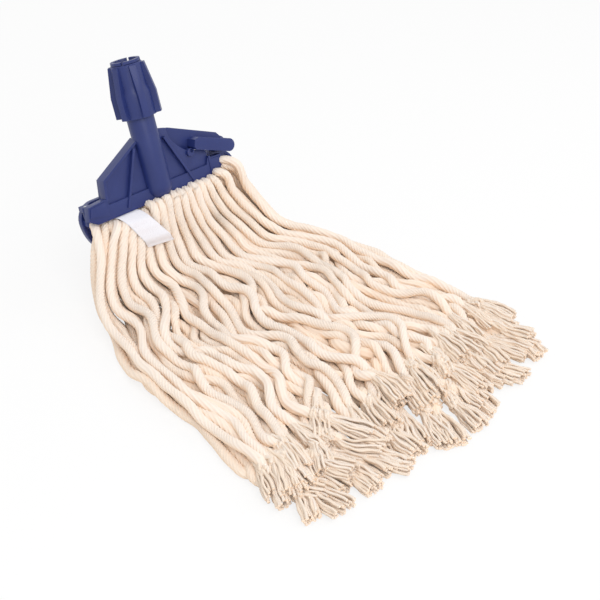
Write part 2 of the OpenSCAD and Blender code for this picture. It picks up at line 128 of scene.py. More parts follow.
class NodeSheet:
    """Writes nodes and links into one node tree."""

    def __init__(self, tree: Tree) -> None:
        """Starts on an empty tree.

        Args:
            tree: the shader or geometry tree to fill.
        """
        self.tree = tree
        tree.nodes.clear()

    def add(self, kind: str, **settings: object) -> Node:
        """Adds a node.

        Args:
            kind: the node's type name.
            settings: properties to set on it.

        Returns:
            The new node.
        """
        node = self.tree.nodes.new(kind)
        for key, value in settings.items():
            setattr(node, key, value)
        return node

    def feed(self, node: Node, values: dict[str | int, object]) -> None:
        """Links sockets into a node's inputs, and sets the inputs that get plain values.

        Args:
            node: the node to feed.
            values: sockets or plain values, by the input's name or number.
        """
        for key, value in values.items():
            if isinstance(value, Socket):
                self.tree.links.new(value, node.inputs[key])
            else:
                node.inputs[key].default_value = value

    def step(self, kind: str, values: dict[str | int, object], output: str | int = 0,
             **settings: object) -> Socket:
        """Adds a node with its inputs fed.

        Args:
            kind: the node's type name.
            values: sockets or plain values for its inputs, by name or number.
            output: the name or number of the output to return.
            settings: properties to set on it.

        Returns:
            The output's socket.
        """
        node = self.add(kind, **settings)
        self.feed(node, values)
        return node.outputs[output]

    def math(self, operation: str, *values: object) -> Socket:
        """Adds a Math node for sockets or numbers and returns its result."""
        return self.step("ShaderNodeMath", dict(enumerate(values)), operation=operation)

    def vector_math(self, operation: str, *values: object, output: str = "Vector") -> Socket:
        """Adds a Vector Math node for sockets or vectors and returns its result."""
        return self.step("ShaderNodeVectorMath", dict(enumerate(values)), output, operation=operation)

    def split(self, vector: Socket) -> bpy.types.bpy_prop_collection:
        """Gives a vector's three parts."""
        node = self.add("ShaderNodeSeparateXYZ")
        self.feed(node, {0: vector})
        return node.outputs

    def join(self, *parts: Socket) -> Socket:
        """Makes a vector of three parts."""
        return self.step("ShaderNodeCombineXYZ", dict(enumerate(parts)))

    def noise(self, vector: Socket, scale: object, detail: float) -> Socket:
        """Adds a Noise Texture with features per metre and octaves, and returns its value."""
        return self.step("ShaderNodeTexNoise", {"Vector": vector, "Scale": scale, "Detail": detail}, "Fac")

    def stretch(self, value: Socket, low: float, high: float, to_low: float, to_high: float) -> Socket:
        """Maps a value's range from low..high to to_low..to_high, clamped."""
        ends = {"From Min": low, "From Max": high, "To Min": to_low, "To Max": to_high}
        return self.step("ShaderNodeMapRange", {"Value": value, **ends}, "Result")

    def clouds(self, noise: Socket) -> Socket:
        """Spreads the range that most of a noise lies in over 0 to 1."""
        return self.stretch(noise, 0.3, 0.7, 0.0, 1.0)

    def blend(self, factor: Socket, first: object, second: object) -> Socket:
        """Mixes two colours by a factor."""
        ends = [(*colour, 1.0) if isinstance(colour, tuple) else colour for colour in (first, second)]
        return self.step("ShaderNodeMix", {0: factor, 6: ends[0], 7: ends[1]}, 2, data_type="RGBA")

    def bump(self, height: Socket, distance: float, strength: float) -> Socket:
        """Adds a Bump node and returns its normal."""
        values = {"Height": height, "Distance": distance, "Strength": strength}
        return self.step("ShaderNodeBump", values, "Normal")

    def mark(self, name: str, output: str = "Fac") -> Socket:
        """Reads one of the mesh's own attributes in a material."""
        return self.add("ShaderNodeAttribute", attribute_name=name).outputs[output]

    def group(self, tree: Tree, **values: object) -> Node:
        """Places a node group.

        Args:
            tree: the group.
            values: sockets or values for its inputs, with _ for a space.

        Returns:
            The group's node.
        """
        node = self.add("ShaderNodeGroup", node_tree=tree)
        self.feed(node, {key.replace("_", " "): value for key, value in values.items()})
        return node

    def store(self, geometry: Socket, name: str, kind: str, value: Socket) -> Socket:
        """Stores a named attribute on a mesh's points."""
        values = {"Geometry": geometry, "Name": name, "Value": value}
        return self.step("GeometryNodeStoreNamedAttribute", values, data_type=kind, domain="POINT")

    def capture(self, geometry: Socket, **fields: tuple[str, Socket]) -> bpy.types.bpy_prop_collection:
        """Keeps fields of a geometry for later nodes.

        Args:
            geometry: the geometry.
            fields: each field's type and socket, by label.

        Returns:
            The node's outputs: the geometry, and the kept fields by label.
        """
        node = self.add("GeometryNodeCaptureAttribute")
        for label, (kind, _) in fields.items():
            node.capture_items.new(kind, label)
        self.feed(node, {"Geometry": geometry, **{label: source for label, (_, source) in fields.items()}})
        return node.outputs

    def dress(self, geometry: Socket, material: Socket) -> Socket:
        """Makes geometry real, smooth and of one material."""
        real = self.step("GeometryNodeRealizeInstances", {"Geometry": geometry})
        soft = self.step("GeometryNodeSetShadeSmooth", {"Geometry": real})
        return self.step("GeometryNodeSetMaterial", {"Geometry": soft, "Material": material})


def node_group(name: str, kind: str, inputs: dict[str, str], outputs: dict[str, str]) -> tuple[
        Tree, NodeSheet, bpy.types.bpy_prop_collection, Node]:
    """Starts a node group.

    Args:
        name: the group's name.
        kind: its tree's type name.
        inputs: input names with their socket types.
        outputs: output names with their socket types.

    Returns:
        The tree, its sheet, the sockets that it is given and its output node.
    """
    tree = bpy.data.node_groups.new(name, kind)
    for sockets, way in ((inputs, "INPUT"), (outputs, "OUTPUT")):
        for label, socket in sockets.items():
            tree.interface.new_socket(label, in_out=way, socket_type=socket)
    sheet = NodeSheet(tree)
    return tree, sheet, sheet.add("NodeGroupInput").outputs, sheet.add("NodeGroupOutput")


class Effects:
    """Shader node groups that several finishes share."""

    def __init__(self) -> None:
        """Builds each group once."""
        self.grain = self._grain()
        self.wear = self._wear()
        self.weave = self._weave()
        self.twist = self._twist()

    def _grain(self) -> Tree:
        """Fine surface grain with broad cloudy patches."""
        tree, sheet, given, out = node_group(
            "surface_grain", SHADER_TREE, {"Vector": VECTOR, "Fine Scale": FLOAT, "Patch Scale": FLOAT},
            {"Height": FLOAT, "Patches": FLOAT})
        fine = sheet.noise(given["Vector"], given["Fine Scale"], 3.0)
        patch = sheet.noise(given["Vector"], given["Patch Scale"], 4.0)
        sheet.feed(out, {"Height": fine, "Patches": sheet.clouds(patch)})
        return tree

    def _wear(self) -> Tree:
        """Mask of rubbed edges, broken up by noise."""
        tree, sheet, given, out = node_group(
            "edge_wear", SHADER_TREE, {"Edge": FLOAT, "Vector": VECTOR, "Scale": FLOAT}, {"Mask": FLOAT})
        breakup = sheet.noise(given["Vector"], given["Scale"], 4.0)
        spots = sheet.stretch(breakup, 0.42, 0.68, 0.0, 1.0)
        sheet.feed(out, {"Mask": sheet.math("MULTIPLY", given["Edge"], spots)})
        return tree

    def _weave(self) -> Tree:
        """Plain weave of crossing threads on a cloth's flat coordinates."""
        tree, sheet, given, out = node_group(
            "plain_weave", SHADER_TREE, {"Vector": VECTOR, "Threads": FLOAT, "Slub Scale": FLOAT},
            {"Height": FLOAT, "Slubs": FLOAT})
        parts = sheet.split(given["Vector"])
        sides = [sheet.math("MULTIPLY", parts[k], given["Threads"]) for k in (0, 1)]
        waves = [sheet.math("SINE", sheet.math("MULTIPLY", side, math.pi)) for side in sides]
        ribs = [sheet.math("ABSOLUTE", wave) for wave in waves]
        cells = [sheet.math("FLOOR", side) for side in sides]
        over = sheet.math("FLOORED_MODULO", sheet.math("ADD", *cells), 2.0)
        under = sheet.math("SUBTRACT", 1.0, over)
        raised = [sheet.math("MULTIPLY", rib, side) for rib, side in zip(ribs, (over, under))]
        slubs = sheet.noise(given["Vector"], given["Slub Scale"], 3.0)
        sheet.feed(out, {"Height": sheet.math("ADD", *raised), "Slubs": sheet.clouds(slubs)})
        return tree

    def _twist(self) -> Tree:
        """Twisted singles and loose fibres on a swept strand's fibre coordinates; Groove is the mask for
        painted shade between the singles.
        """
        tree, sheet, given, out = node_group(
            "twisted_singles", SHADER_TREE, {"Fibre": VECTOR, "Singles": FLOAT, "Fuzz": FLOAT},
            {"Height": FLOAT, "Groove": FLOAT, "Slubs": FLOAT})
        parts = sheet.split(given["Fibre"])
        angle = sheet.math("ARCTAN2", parts[1], parts[0])
        crest = sheet.math("COSINE", sheet.math("MULTIPLY", angle, given["Singles"]))
        crest = sheet.math("MULTIPLY_ADD", crest, 0.5, 0.5)
        scales = (2.2, 2.2, 60.0)
        spread = sheet.join(*(sheet.math("MULTIPLY", parts[k], scale) for k, scale in enumerate(scales)))
        fuzz = sheet.math("MULTIPLY", sheet.noise(spread, 4.0, 5.0), given["Fuzz"])
        slubs = sheet.noise(spread, 0.7, 2.0)
        sheet.feed(out, {"Height": sheet.math("ADD", crest, fuzz), "Slubs": sheet.clouds(slubs),
                         "Groove": sheet.math("SUBTRACT", 1.0, crest)})
        return tree


def new_material(name: str) -> tuple[bpy.types.Material, NodeSheet, Node]:
    """Starts a material with a Principled BSDF on its output.

    Args:
        name: the material's name.

    Returns:
        The material, its sheet and the shader's node.
    """
    material = bpy.data.materials.new(name)
    material.use_nodes = True
    sheet = NodeSheet(material.node_tree)
    shader = sheet.add("ShaderNodeBsdfPrincipled")
    sheet.feed(sheet.add("ShaderNodeOutputMaterial"), {"Surface": shader.outputs[0]})
    return material, sheet, shader


@dataclass(frozen=True)
class MouldedPlastic:
    """Satin injection-moulded plastic, slightly paler where edges are rubbed."""

    name: str
    colour: Colour
    cloud: Colour
    rubbed: Colour
    smooth: float
    rough: float
    grain_scale: float = 2600.0
    patch_scale: float = 38.0
    wear_scale: float = 420.0
    grain_depth: float = 0.02 * MM
    grain_strength: float = 0.04
    ior: float = 1.47

    def material(self, effects: Effects) -> bpy.types.Material:
        """Builds the finish's material."""
        material, sheet, shader = new_material(self.name)
        place = sheet.add("ShaderNodeTexCoord").outputs["Object"]
        grain = sheet.group(effects.grain, Vector=place, Fine_Scale=self.grain_scale,
                            Patch_Scale=self.patch_scale).outputs
        wear = sheet.group(effects.wear, Edge=sheet.mark("edge"), Vector=place, Scale=self.wear_scale)
        base = sheet.blend(grain["Patches"], self.colour, self.cloud)
        sheet.feed(shader, {
            "Base Color": sheet.blend(wear.outputs["Mask"], base, self.rubbed),
            "Roughness": sheet.stretch(grain["Patches"], 0.0, 1.0, self.smooth, self.rough),
            "Normal": sheet.bump(grain["Height"], self.grain_depth, self.grain_strength),
            "IOR": self.ior})
        return material


@dataclass(frozen=True)
class BrushedSteel:
    """Drawn steel wire with fine marks."""

    name: str
    colour: Colour
    dull: Colour
    grain_scale: float = 5200.0
    patch_scale: float = 240.0
    smooth: float = 0.26
    rough: float = 0.42
    grain_depth: float = 0.02 * MM
    grain_strength: float = 0.4

    def material(self, effects: Effects) -> bpy.types.Material:
        """Builds the finish's material."""
        material, sheet, shader = new_material(self.name)
        place = sheet.add("ShaderNodeTexCoord").outputs["Object"]
        grain = sheet.group(effects.grain, Vector=place, Fine_Scale=self.grain_scale,
                            Patch_Scale=self.patch_scale).outputs
        sheet.feed(shader, {
            "Base Color": sheet.blend(grain["Patches"], self.colour, self.dull),
            "Roughness": sheet.stretch(grain["Height"], 0.3, 0.7, self.smooth, self.rough),
            "Normal": sheet.bump(grain["Height"], self.grain_depth, self.grain_strength),
            "Metallic": 1.0})
        return material


@dataclass(frozen=True)
class WovenCloth:
    """Plain-woven cotton or ribbon cloth, with painted shade in the hollows of its weave."""

    name: str
    colour: Colour
    # Colour of the painted shade in the weave's hollows, which the slubs' real mottling also reaches.
    shade: Colour
    threads: float
    depth: float
    sheen: float
    slub_scale: float = 900.0
    slub_tint: float = 0.35
    dip_shade_strength: float = 0.75
    smooth: float = 0.78
    rough: float = 0.94
    weave_strength: float = 0.7

    def material(self, effects: Effects) -> bpy.types.Material:
        """Builds the finish's material."""
        material, sheet, shader = new_material(self.name)
        place = sheet.add("ShaderNodeUVMap", uv_map="flat").outputs[0]
        weave = sheet.group(effects.weave, Vector=place, Threads=self.threads,
                            Slub_Scale=self.slub_scale).outputs
        # Painted shade where the weave's height is low, between crossing threads, plus the slubs' real
        # mottling.
        dip_shade = sheet.stretch(weave["Height"], 0.0, self.dip_shade_strength, self.dip_shade_strength, 0.0)
        slub_and_dip_shade_share = sheet.math("MULTIPLY_ADD", weave["Slubs"], self.slub_tint, dip_shade)
        sheet.feed(shader, {
            "Base Color": sheet.blend(slub_and_dip_shade_share, self.colour, self.shade),
            "Roughness": sheet.stretch(weave["Slubs"], 0.0, 1.0, self.smooth, self.rough),
            "Normal": sheet.bump(weave["Height"], self.depth, self.weave_strength),
            "Sheen Weight": self.sheen})
        return material


@dataclass(frozen=True)
class TwistedCotton:
    """Cotton yarn twisted from fine singles, with a soft fuzz, painted shade in the grooves between its
    plies and painted warmer shade on its flanks and underside.
    """

    name: str
    colour: Colour
    # Warmer colour for random real variation between strands and for the painted shade of the lower rows.
    warmer_tone_and_shade: Colour
    # Colour of the painted shade in the grooves between plies, which the slubs' real mottling also reaches.
    groove: Colour
    singles: float
    depth: float
    shadow: float
    sheen: float
    # Colour of the painted warmer shade on the strand's flanks and underside.
    side: Colour
    fuzz: float = 0.9
    slub_tint: float = 0.18
    flank_shade_range: tuple[float, float] = (0.4, 1.1)
    flank_shade_strength: float = 0.9
    smooth: float = 0.86
    rough: float = 0.98
    twist_strength: float = 0.7
    specular: float = 0.12
    sheen_rough: float = 0.55

    def material(self, effects: Effects) -> bpy.types.Material:
        """Builds the finish's material."""
        material, sheet, shader = new_material(self.name)
        twist = sheet.group(effects.twist, Fibre=sheet.mark("fibre", "Vector"), Singles=self.singles,
                            Fuzz=self.fuzz).outputs
        # Mixes towards the warmer colour by strand: random real variation, and painted shade on the lower
        # rows.
        body = sheet.blend(sheet.mark("tone_and_row_shade"), self.colour, self.warmer_tone_and_shade)
        # Painted shade in the grooves between plies, plus the slubs' real mottling.
        groove_shade_and_slub_share = sheet.math("MULTIPLY", twist["Groove"], self.shadow)
        groove_shade_and_slub_share = sheet.math("MULTIPLY_ADD", twist["Slubs"], self.slub_tint, groove_shade_and_slub_share)
        # Painted shade: the strand's flanks and underside turn towards a warmer colour, as if in shadow
        # between strands.
        turned = sheet.stretch(sheet.mark("flank_shade"), *self.flank_shade_range, 0.0, self.flank_shade_strength)
        sheet.feed(shader, {
            "Base Color": sheet.blend(turned, sheet.blend(groove_shade_and_slub_share, body, self.groove), self.side),
            "Roughness": sheet.stretch(twist["Slubs"], 0.0, 1.0, self.smooth, self.rough),
            "Normal": sheet.bump(twist["Height"], self.depth, self.twist_strength),
            "Specular IOR Level": self.specular, "Sheen Weight": self.sheen,
            "Sheen Roughness": self.sheen_rough})
        return material


CLIP_PLASTIC = MouldedPlastic("navy_moulded_plastic", (0.016, 0.028, 0.142), (0.019, 0.033, 0.158),
                              (0.055, 0.08, 0.25), 0.36, 0.44)
PIN_STEEL = BrushedSteel("pin_wire_steel", (0.62, 0.63, 0.65), (0.50, 0.51, 0.53))
HEAD_TAPE = WovenCloth("headband_tape", (0.86, 0.80, 0.68), (0.66, 0.57, 0.44), 1100.0, 0.15 * MM, 0.2)
TAG_CLOTH = WovenCloth("tag_ribbon", (0.90, 0.89, 0.94), (0.80, 0.79, 0.85), 2600.0, 0.06 * MM, 0.25)
HEAD_YARN = TwistedCotton("cotton_yarn", (0.97, 0.88, 0.80), (0.97, 0.82, 0.68), (0.90, 0.73, 0.59),
                          7.0, 0.22 * MM, 0.3, 0.3, (0.96, 0.73, 0.53))
YARN_ENDS = TwistedCotton("cotton_yarn_ends", (0.97, 0.87, 0.78), (0.97, 0.82, 0.67), (0.92, 0.74, 0.59),
                          2.0, 0.05 * MM, 0.15, 0.4, (0.97, 0.74, 0.54))
SEWING_THREAD = TwistedCotton("sewing_thread", (0.90, 0.86, 0.78), (0.86, 0.80, 0.70), (0.58, 0.50, 0.40),
                              2.0, 0.10 * MM, 0.5, 0.1, (0.80, 0.72, 0.60))


def piece_from(mesh: bpy.types.Mesh, name: str) -> Piece:
    """Makes a mesh an object of the scene at the origin."""
    piece = bpy.data.objects.new(name, mesh)
    bpy.context.scene.collection.objects.link(piece)
    return piece


def bake_modifiers(piece: Piece) -> None:
    """Turns a piece's modifiers into a plain mesh and removes them."""
    graph = bpy.context.evaluated_depsgraph_get()
    baked = bpy.data.meshes.new_from_object(piece.evaluated_get(graph), preserve_all_data_layers=True,
                                            depsgraph=graph)
    baked.name = piece.name
    piece.modifiers.clear()
    piece.data = baked


def set_points(mesh: bpy.types.Mesh, name: str, values: np.ndarray) -> None:
    """Stores one number per point on a mesh."""
    layer = mesh.attributes.new(name, "FLOAT", "POINT")
    layer.data.foreach_set("value", np.ascontiguousarray(values, dtype=np.float32).ravel())


def settle_piece(piece: Piece, body: Body, slot: Slot, *nodes: str) -> None:
    """Hands a finished piece to the frame.

    Args:
        piece: the finished object.
        body: the body it moves with.
        slot: the record's material slot; not used.
        nodes: the CAD nodes that it stands for.
    """
    if nodes:
        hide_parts(*nodes)
    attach(piece, body.value)
    LOG.info("%s rides on %s with %d faces", piece.name, body.value, len(piece.data.polygons))


@dataclass(frozen=True)
class ClipFrame:
    """The clip's own axes, from the jaw's lower edge: x along the jaw, y to the back, z up the socket."""

    origin: np.ndarray
    lean: float

    @classmethod
    def from_record(cls, socket_h: float) -> "ClipFrame":
        """Finds the clip from the socket's mount.

        Args:
            socket_h: height of the socket's mouth above the jaw's lower edge.

        Returns:
            The clip's frame.
        """
        mount = frame["record"]["mounts"][0]
        axis = np.array(mount["axis"])
        return cls(np.array(mount["pos_m"]) - axis * socket_h, math.atan2(axis[1], axis[2]))

    @property
    def depth(self) -> np.ndarray:
        """Direction from the front jaw to the rear jaw."""
        return np.array([0.0, math.cos(self.lean), -math.sin(self.lean)])

    @property
    def up(self) -> np.ndarray:
        """Direction up the socket."""
        return np.array([0.0, math.sin(self.lean), math.cos(self.lean)])

    def place(self, x: np.ndarray, y: np.ndarray, z: np.ndarray) -> np.ndarray:
        """Places clip coordinates in the scene."""
        x, y, z = np.broadcast_arrays(x, y, z)
        out = self.origin + y[..., None] * self.depth + z[..., None] * self.up
        out[..., 0] += x
        return out

    def depth_and_height(self, points: np.ndarray) -> tuple[np.ndarray, np.ndarray]:
        """Gives points' depth and height in the clip."""
        rel = points - self.origin
        return rel @ self.depth, rel @ self.up


@dataclass
class RigidClip:
    """The blue mouldings and the steel pins of the clip."""

    clip: ClipFrame
    seat_lift: float = 0.7 * MM
    edge_radius: float = 0.6 * MM
    fine_radius: float = 0.45 * MM
    seat_x: tuple[float, float] = (53 * MM, 72 * MM)
    seat_depth: tuple[float, float] = (-0.5 * MM, 3.5 * MM)
    seat_height: tuple[float, float] = (28 * MM, 38 * MM)
    sharp_angle: float = math.radians(34)
    flat_angle: float = math.radians(0.8)
    weld: float = 0.004 * MM
    bevel_steps: int = 3
    wear_gain: float = 6.0
    mouldings: tuple[tuple[str, str, Body, bool], ...] = (
        ("front_jaw", "front_jaw_moulding", Body.MOP, False),
        ("socket_tube", "socket_tube_moulding", Body.MOP, True),
        ("screw_collar", "screw_collar_moulding", Body.COLLAR, False),
        ("rear_jaw", "rear_jaw_moulding", Body.BACK_CLAMP, False),
        ("latch_lever", "latch_lever_moulding", Body.LEVER, False),
    )
    pins: tuple[str, ...] = ("hinge_pin", "latch_pin")

    def build(self, effects: Effects) -> None:
        """Makes every moulding with rounded edges, and dresses the pins."""
        plastic = CLIP_PLASTIC.material(effects)
        for node, name, body, fine in self.mouldings:
            piece = self._rounded(node, name, self.fine_radius if fine else self.edge_radius)
            piece.data.materials.clear()
            piece.data.materials.append(plastic)
            settle_piece(piece, body, Slot.PLASTIC, node)
        steel = PIN_STEEL.material(effects)
        for node in self.pins:
            for slot in frame["nodes"][node].material_slots:
                slot.material = steel

    def _rounded(self, node: str, name: str, radius: float) -> Piece:
        """Copies a CAD node with its sharp edges rounded.

        Args:
            node: the CAD node.
            name: the new piece's name.
            radius: the edges' rounding.

        Returns:
            The rounded piece.
        """
        sheet = bmesh.new()
        sheet.from_mesh(frame["nodes"][node].data)
        bmesh.ops.remove_doubles(sheet, verts=sheet.verts, dist=self.weld)
        bmesh.ops.dissolve_limit(sheet, angle_limit=self.flat_angle, verts=sheet.verts, edges=sheet.edges)
        if node == "front_jaw":
            self._close_seat(sheet)
        mesh = bpy.data.meshes.new(name)
        sheet.to_mesh(mesh)
        sheet.free()
        mesh.shade_smooth()
        piece = piece_from(mesh, name)
        bevel = piece.modifiers.new("edges", "BEVEL")
        bevel.width = radius
        bevel.segments = self.bevel_steps
        bevel.limit_method = "ANGLE"
        bevel.angle_limit = self.sharp_angle
        bevel.harden_normals = True
        bevel.use_clamp_overlap = True
        bevel.material = 1
        mesh.materials.clear()
        for _ in range(2):
            mesh.materials.append(None)
        mesh.polygons.foreach_set("material_index", np.zeros(len(mesh.polygons), dtype=np.int32))
        bake_modifiers(piece)
        self._mark_edges(piece.data)
        return piece

    def _close_seat(self, sheet: bmesh.types.BMesh) -> None:
        """Raises the right wing's edge close under the resting thumb bar."""
        for vert in sheet.verts:
            place = (vert.co.x - self.clip.origin[0], *self.clip.depth_and_height(np.array(vert.co)))
            ranges = (self.seat_x, self.seat_depth, self.seat_height)
            if all(low < value < high for value, (low, high) in zip(place, ranges)):
                vert.co += Vector(self.clip.up * self.seat_lift)

    def _mark_edges(self, mesh: bpy.types.Mesh) -> None:
        """Stores how far each point in a rounded edge stands out, and gives all faces one material."""
        count = len(mesh.vertices)
        rounded = np.ones(count)
        for face in mesh.polygons:
            if face.material_index == 0:
                rounded[list(face.vertices)] = 0.0
        mesh.polygons.foreach_set("material_index", np.zeros(len(mesh.polygons), dtype=np.int32))
        places = np.empty(count * 3)
        normals = np.empty(count * 3)
        ends = np.empty(len(mesh.edges) * 2, dtype=np.int64)
        mesh.vertices.foreach_get("co", places)
        mesh.vertices.foreach_get("normal", normals)
        mesh.edges.foreach_get("vertices", ends)
        places, normals, ends = places.reshape(-1, 3), normals.reshape(-1, 3), ends.reshape(-1, 2)
        along = unit(places[ends[:, 0]] - places[ends[:, 1]])
        total, seen = np.zeros(count), np.zeros(count)
        np.add.at(total, ends[:, 0], np.sum(normals[ends[:, 0]] * along, axis=1))
        np.add.at(total, ends[:, 1], -np.sum(normals[ends[:, 1]] * along, axis=1))
        np.add.at(seen, ends.ravel(), 1.0)
        proud = total / np.maximum(seen, 1.0) * self.wear_gain
        set_points(mesh, "edge", rounded * np.clip(proud, 0.0, 1.0))


def line_mesh(name: str, lines: list[np.ndarray]) -> bpy.types.Mesh:
    """Makes a mesh of open polylines."""
    starts = np.concatenate(([0], np.cumsum([len(line) for line in lines])))
    edges = np.concatenate([np.column_stack((np.arange(a, b - 1), np.arange(a + 1, b)))
                            for a, b in zip(starts[:-1], starts[1:])])
    mesh = bpy.data.meshes.new(name)
    mesh.from_pydata(np.concatenate(lines).tolist(), edges.tolist(), [])
    return mesh


def grown_piece(mesh: bpy.types.Mesh, tree: Tree, settings: dict[str, object]) -> Piece:
    """Runs a Geometry Nodes tree on a mesh.

    Args:
        mesh: the mesh to start from, with the piece's name.
        tree: the tree.
        settings: the tree's inputs by name.

    Returns:
        The piece, as a plain mesh.
    """
    piece = piece_from(mesh, mesh.name)
    modifier = piece.modifiers.new(tree.name, "NODES")
    modifier.node_group = tree
    for item in tree.interface.items_tree:
        if item.item_type == "SOCKET" and item.in_out == "INPUT" and item.name in settings:
            modifier[item.identifier] = settings[item.name]
    bake_modifiers(piece)
    return piece


class SweptStrands:
    """Geometry Nodes tree that sweeps a twisted, lobed round along every polyline of a mesh."""

    open_side = (0.0, -0.5, 0.87)

    def __init__(self) -> None:
        """Builds the tree with its named inputs."""
        self.tree, sheet, given, out = node_group("swept_strands", GEOMETRY_TREE, {
            "Geometry": GEOMETRY, "Ring Spacing": FLOAT, "Lobes": INTEGER, "Lobe Sides": INTEGER,
            "Groove Depth": FLOAT, "Twist Pitch": FLOAT, "Material": MATERIAL}, {"Geometry": GEOMETRY})
        lines = sheet.step("GeometryNodeMeshToCurve", {0: given["Geometry"]})
        smooth = sheet.step("GeometryNodeCurveSplineType", {"Curve": lines}, spline_type="CATMULL_ROM")
        spaced = {"Curve": smooth, "Length": given["Ring Spacing"]}
        rings = sheet.step("GeometryNodeResampleCurve", spaced, mode="LENGTH")
        length = sheet.add("GeometryNodeSplineParameter").outputs["Length"]
        turns = sheet.math("DIVIDE", length, given["Twist Pitch"])
        turn = sheet.math("MULTIPLY", sheet.math("ADD", turns, self._number(sheet, "phase")), math.tau)
        tilted = sheet.step("GeometryNodeSetCurveTilt", {"Curve": rings, "Tilt": turn})
        tangent = sheet.add("GeometryNodeInputTangent").outputs[0]
        rail = sheet.capture(tilted, Length=("FLOAT", length), Tangent=("VECTOR", tangent))
        here = sheet.add("GeometryNodeInputPosition").outputs[0]
        profile = sheet.capture(self._lobed_round(sheet, given), Place=("VECTOR", here))
        swept = sheet.step("GeometryNodeCurveToMesh", {
            "Curve": rail["Geometry"], "Profile Curve": profile["Geometry"],
            "Scale": self._number(sheet, "thickness"), "Fill Caps": True})
        parts = sheet.split(profile["Place"])
        fibre = sheet.join(parts[0], parts[1], rail["Length"])
        marked = sheet.store(swept, "fibre", "FLOAT_VECTOR", fibre)
        # Stores the measure that places painted shade on each strand's flanks and underside.
        marked = sheet.store(marked, "flank_shade", "FLOAT", self._flank_shade(sheet, rail["Tangent"]))
        sheet.feed(out, {0: sheet.dress(marked, given["Material"])})

    def _flank_shade(self, sheet: NodeSheet, tangent: Socket) -> Socket:
        """Measures how far a point lies round a strand from its open side, which sets the painted warmer
        shade on its flanks and underside.

        Args:
            sheet: the tree's sheet.
            tangent: the strand's direction.

        Returns:
            The measure: 0 on the strand's crown, 1 on its sides and 2 underneath.
        """
        along = sheet.vector_math("PROJECT", self.open_side, tangent)
        crown = sheet.vector_math("NORMALIZE", sheet.vector_math("SUBTRACT", self.open_side, along))
        normal = sheet.add("GeometryNodeInputNormal").outputs[0]
        return sheet.math("SUBTRACT", 1.0, sheet.vector_math("DOT_PRODUCT", crown, normal, output="Value"))

    @staticmethod
    def _lobed_round(sheet: NodeSheet, given: bpy.types.bpy_prop_collection) -> Socket:
        """Draws the section: a round of radius 1 with a groove between one ply and the next.

        Args:
            sheet: the tree's sheet.
            given: the sockets that the tree is given.

        Returns:
            The section's curve.
        """
        sides = sheet.math("MULTIPLY", given["Lobes"], given["Lobe Sides"])
        drawn = {"Radius": 1.0, "Resolution": sides}
        circle = sheet.step("GeometryNodeCurvePrimitiveCircle", drawn, "Curve", mode="RADIUS")
        share = sheet.add("GeometryNodeSplineParameter").outputs["Factor"]
        turn = sheet.math("MULTIPLY", sheet.math("MULTIPLY", share, given["Lobes"]), math.pi)
        dip = sheet.math("SUBTRACT", 1.0, sheet.math("ABSOLUTE", sheet.math("COSINE", turn)))
        reach = sheet.math("SUBTRACT", 1.0, sheet.math("MULTIPLY", dip, given["Groove Depth"]))
        here = sheet.add("GeometryNodeInputPosition").outputs[0]
        scaled = sheet.step("ShaderNodeVectorMath", {0: here, "Scale": reach}, operation="SCALE")
        return sheet.step("GeometryNodeSetPosition", {"Geometry": circle, "Position": scaled})

    @staticmethod
    def _number(sheet: NodeSheet, name: str) -> Socket:
        """Reads a named number of the points."""
        return sheet.step("GeometryNodeInputNamedAttribute", {"Name": name}, "Attribute", data_type="FLOAT")

    def sweep(self, name: str, lines: list[np.ndarray], thickness: list[np.ndarray], tone_and_row_shade: np.ndarray,
              phase: list[np.ndarray], settings: dict[str, object]) -> Piece:
        """Sweeps polylines into one plain mesh.

        Args:
            name: the piece's name.
            lines: each strand's points.
            thickness: each strand's radius at its points.
            tone_and_row_shade: each strand's colour share, from 0 to 1: a random part that is real
                variation, and on the lower rows a larger part that is painted warmer shade.
            phase: each strand's turns at its points, on top of its even twist.
            settings: the tree's inputs by name.

        Returns:
            The swept piece.
        """
        mesh = line_mesh(name, lines)
        set_points(mesh, "thickness", np.concatenate(thickness))
        set_points(mesh, "tone_and_row_shade", np.repeat(tone_and_row_shade, [len(line) for line in lines]))
        set_points(mesh, "phase", np.concatenate(phase))
        return grown_piece(mesh, self.tree, settings)


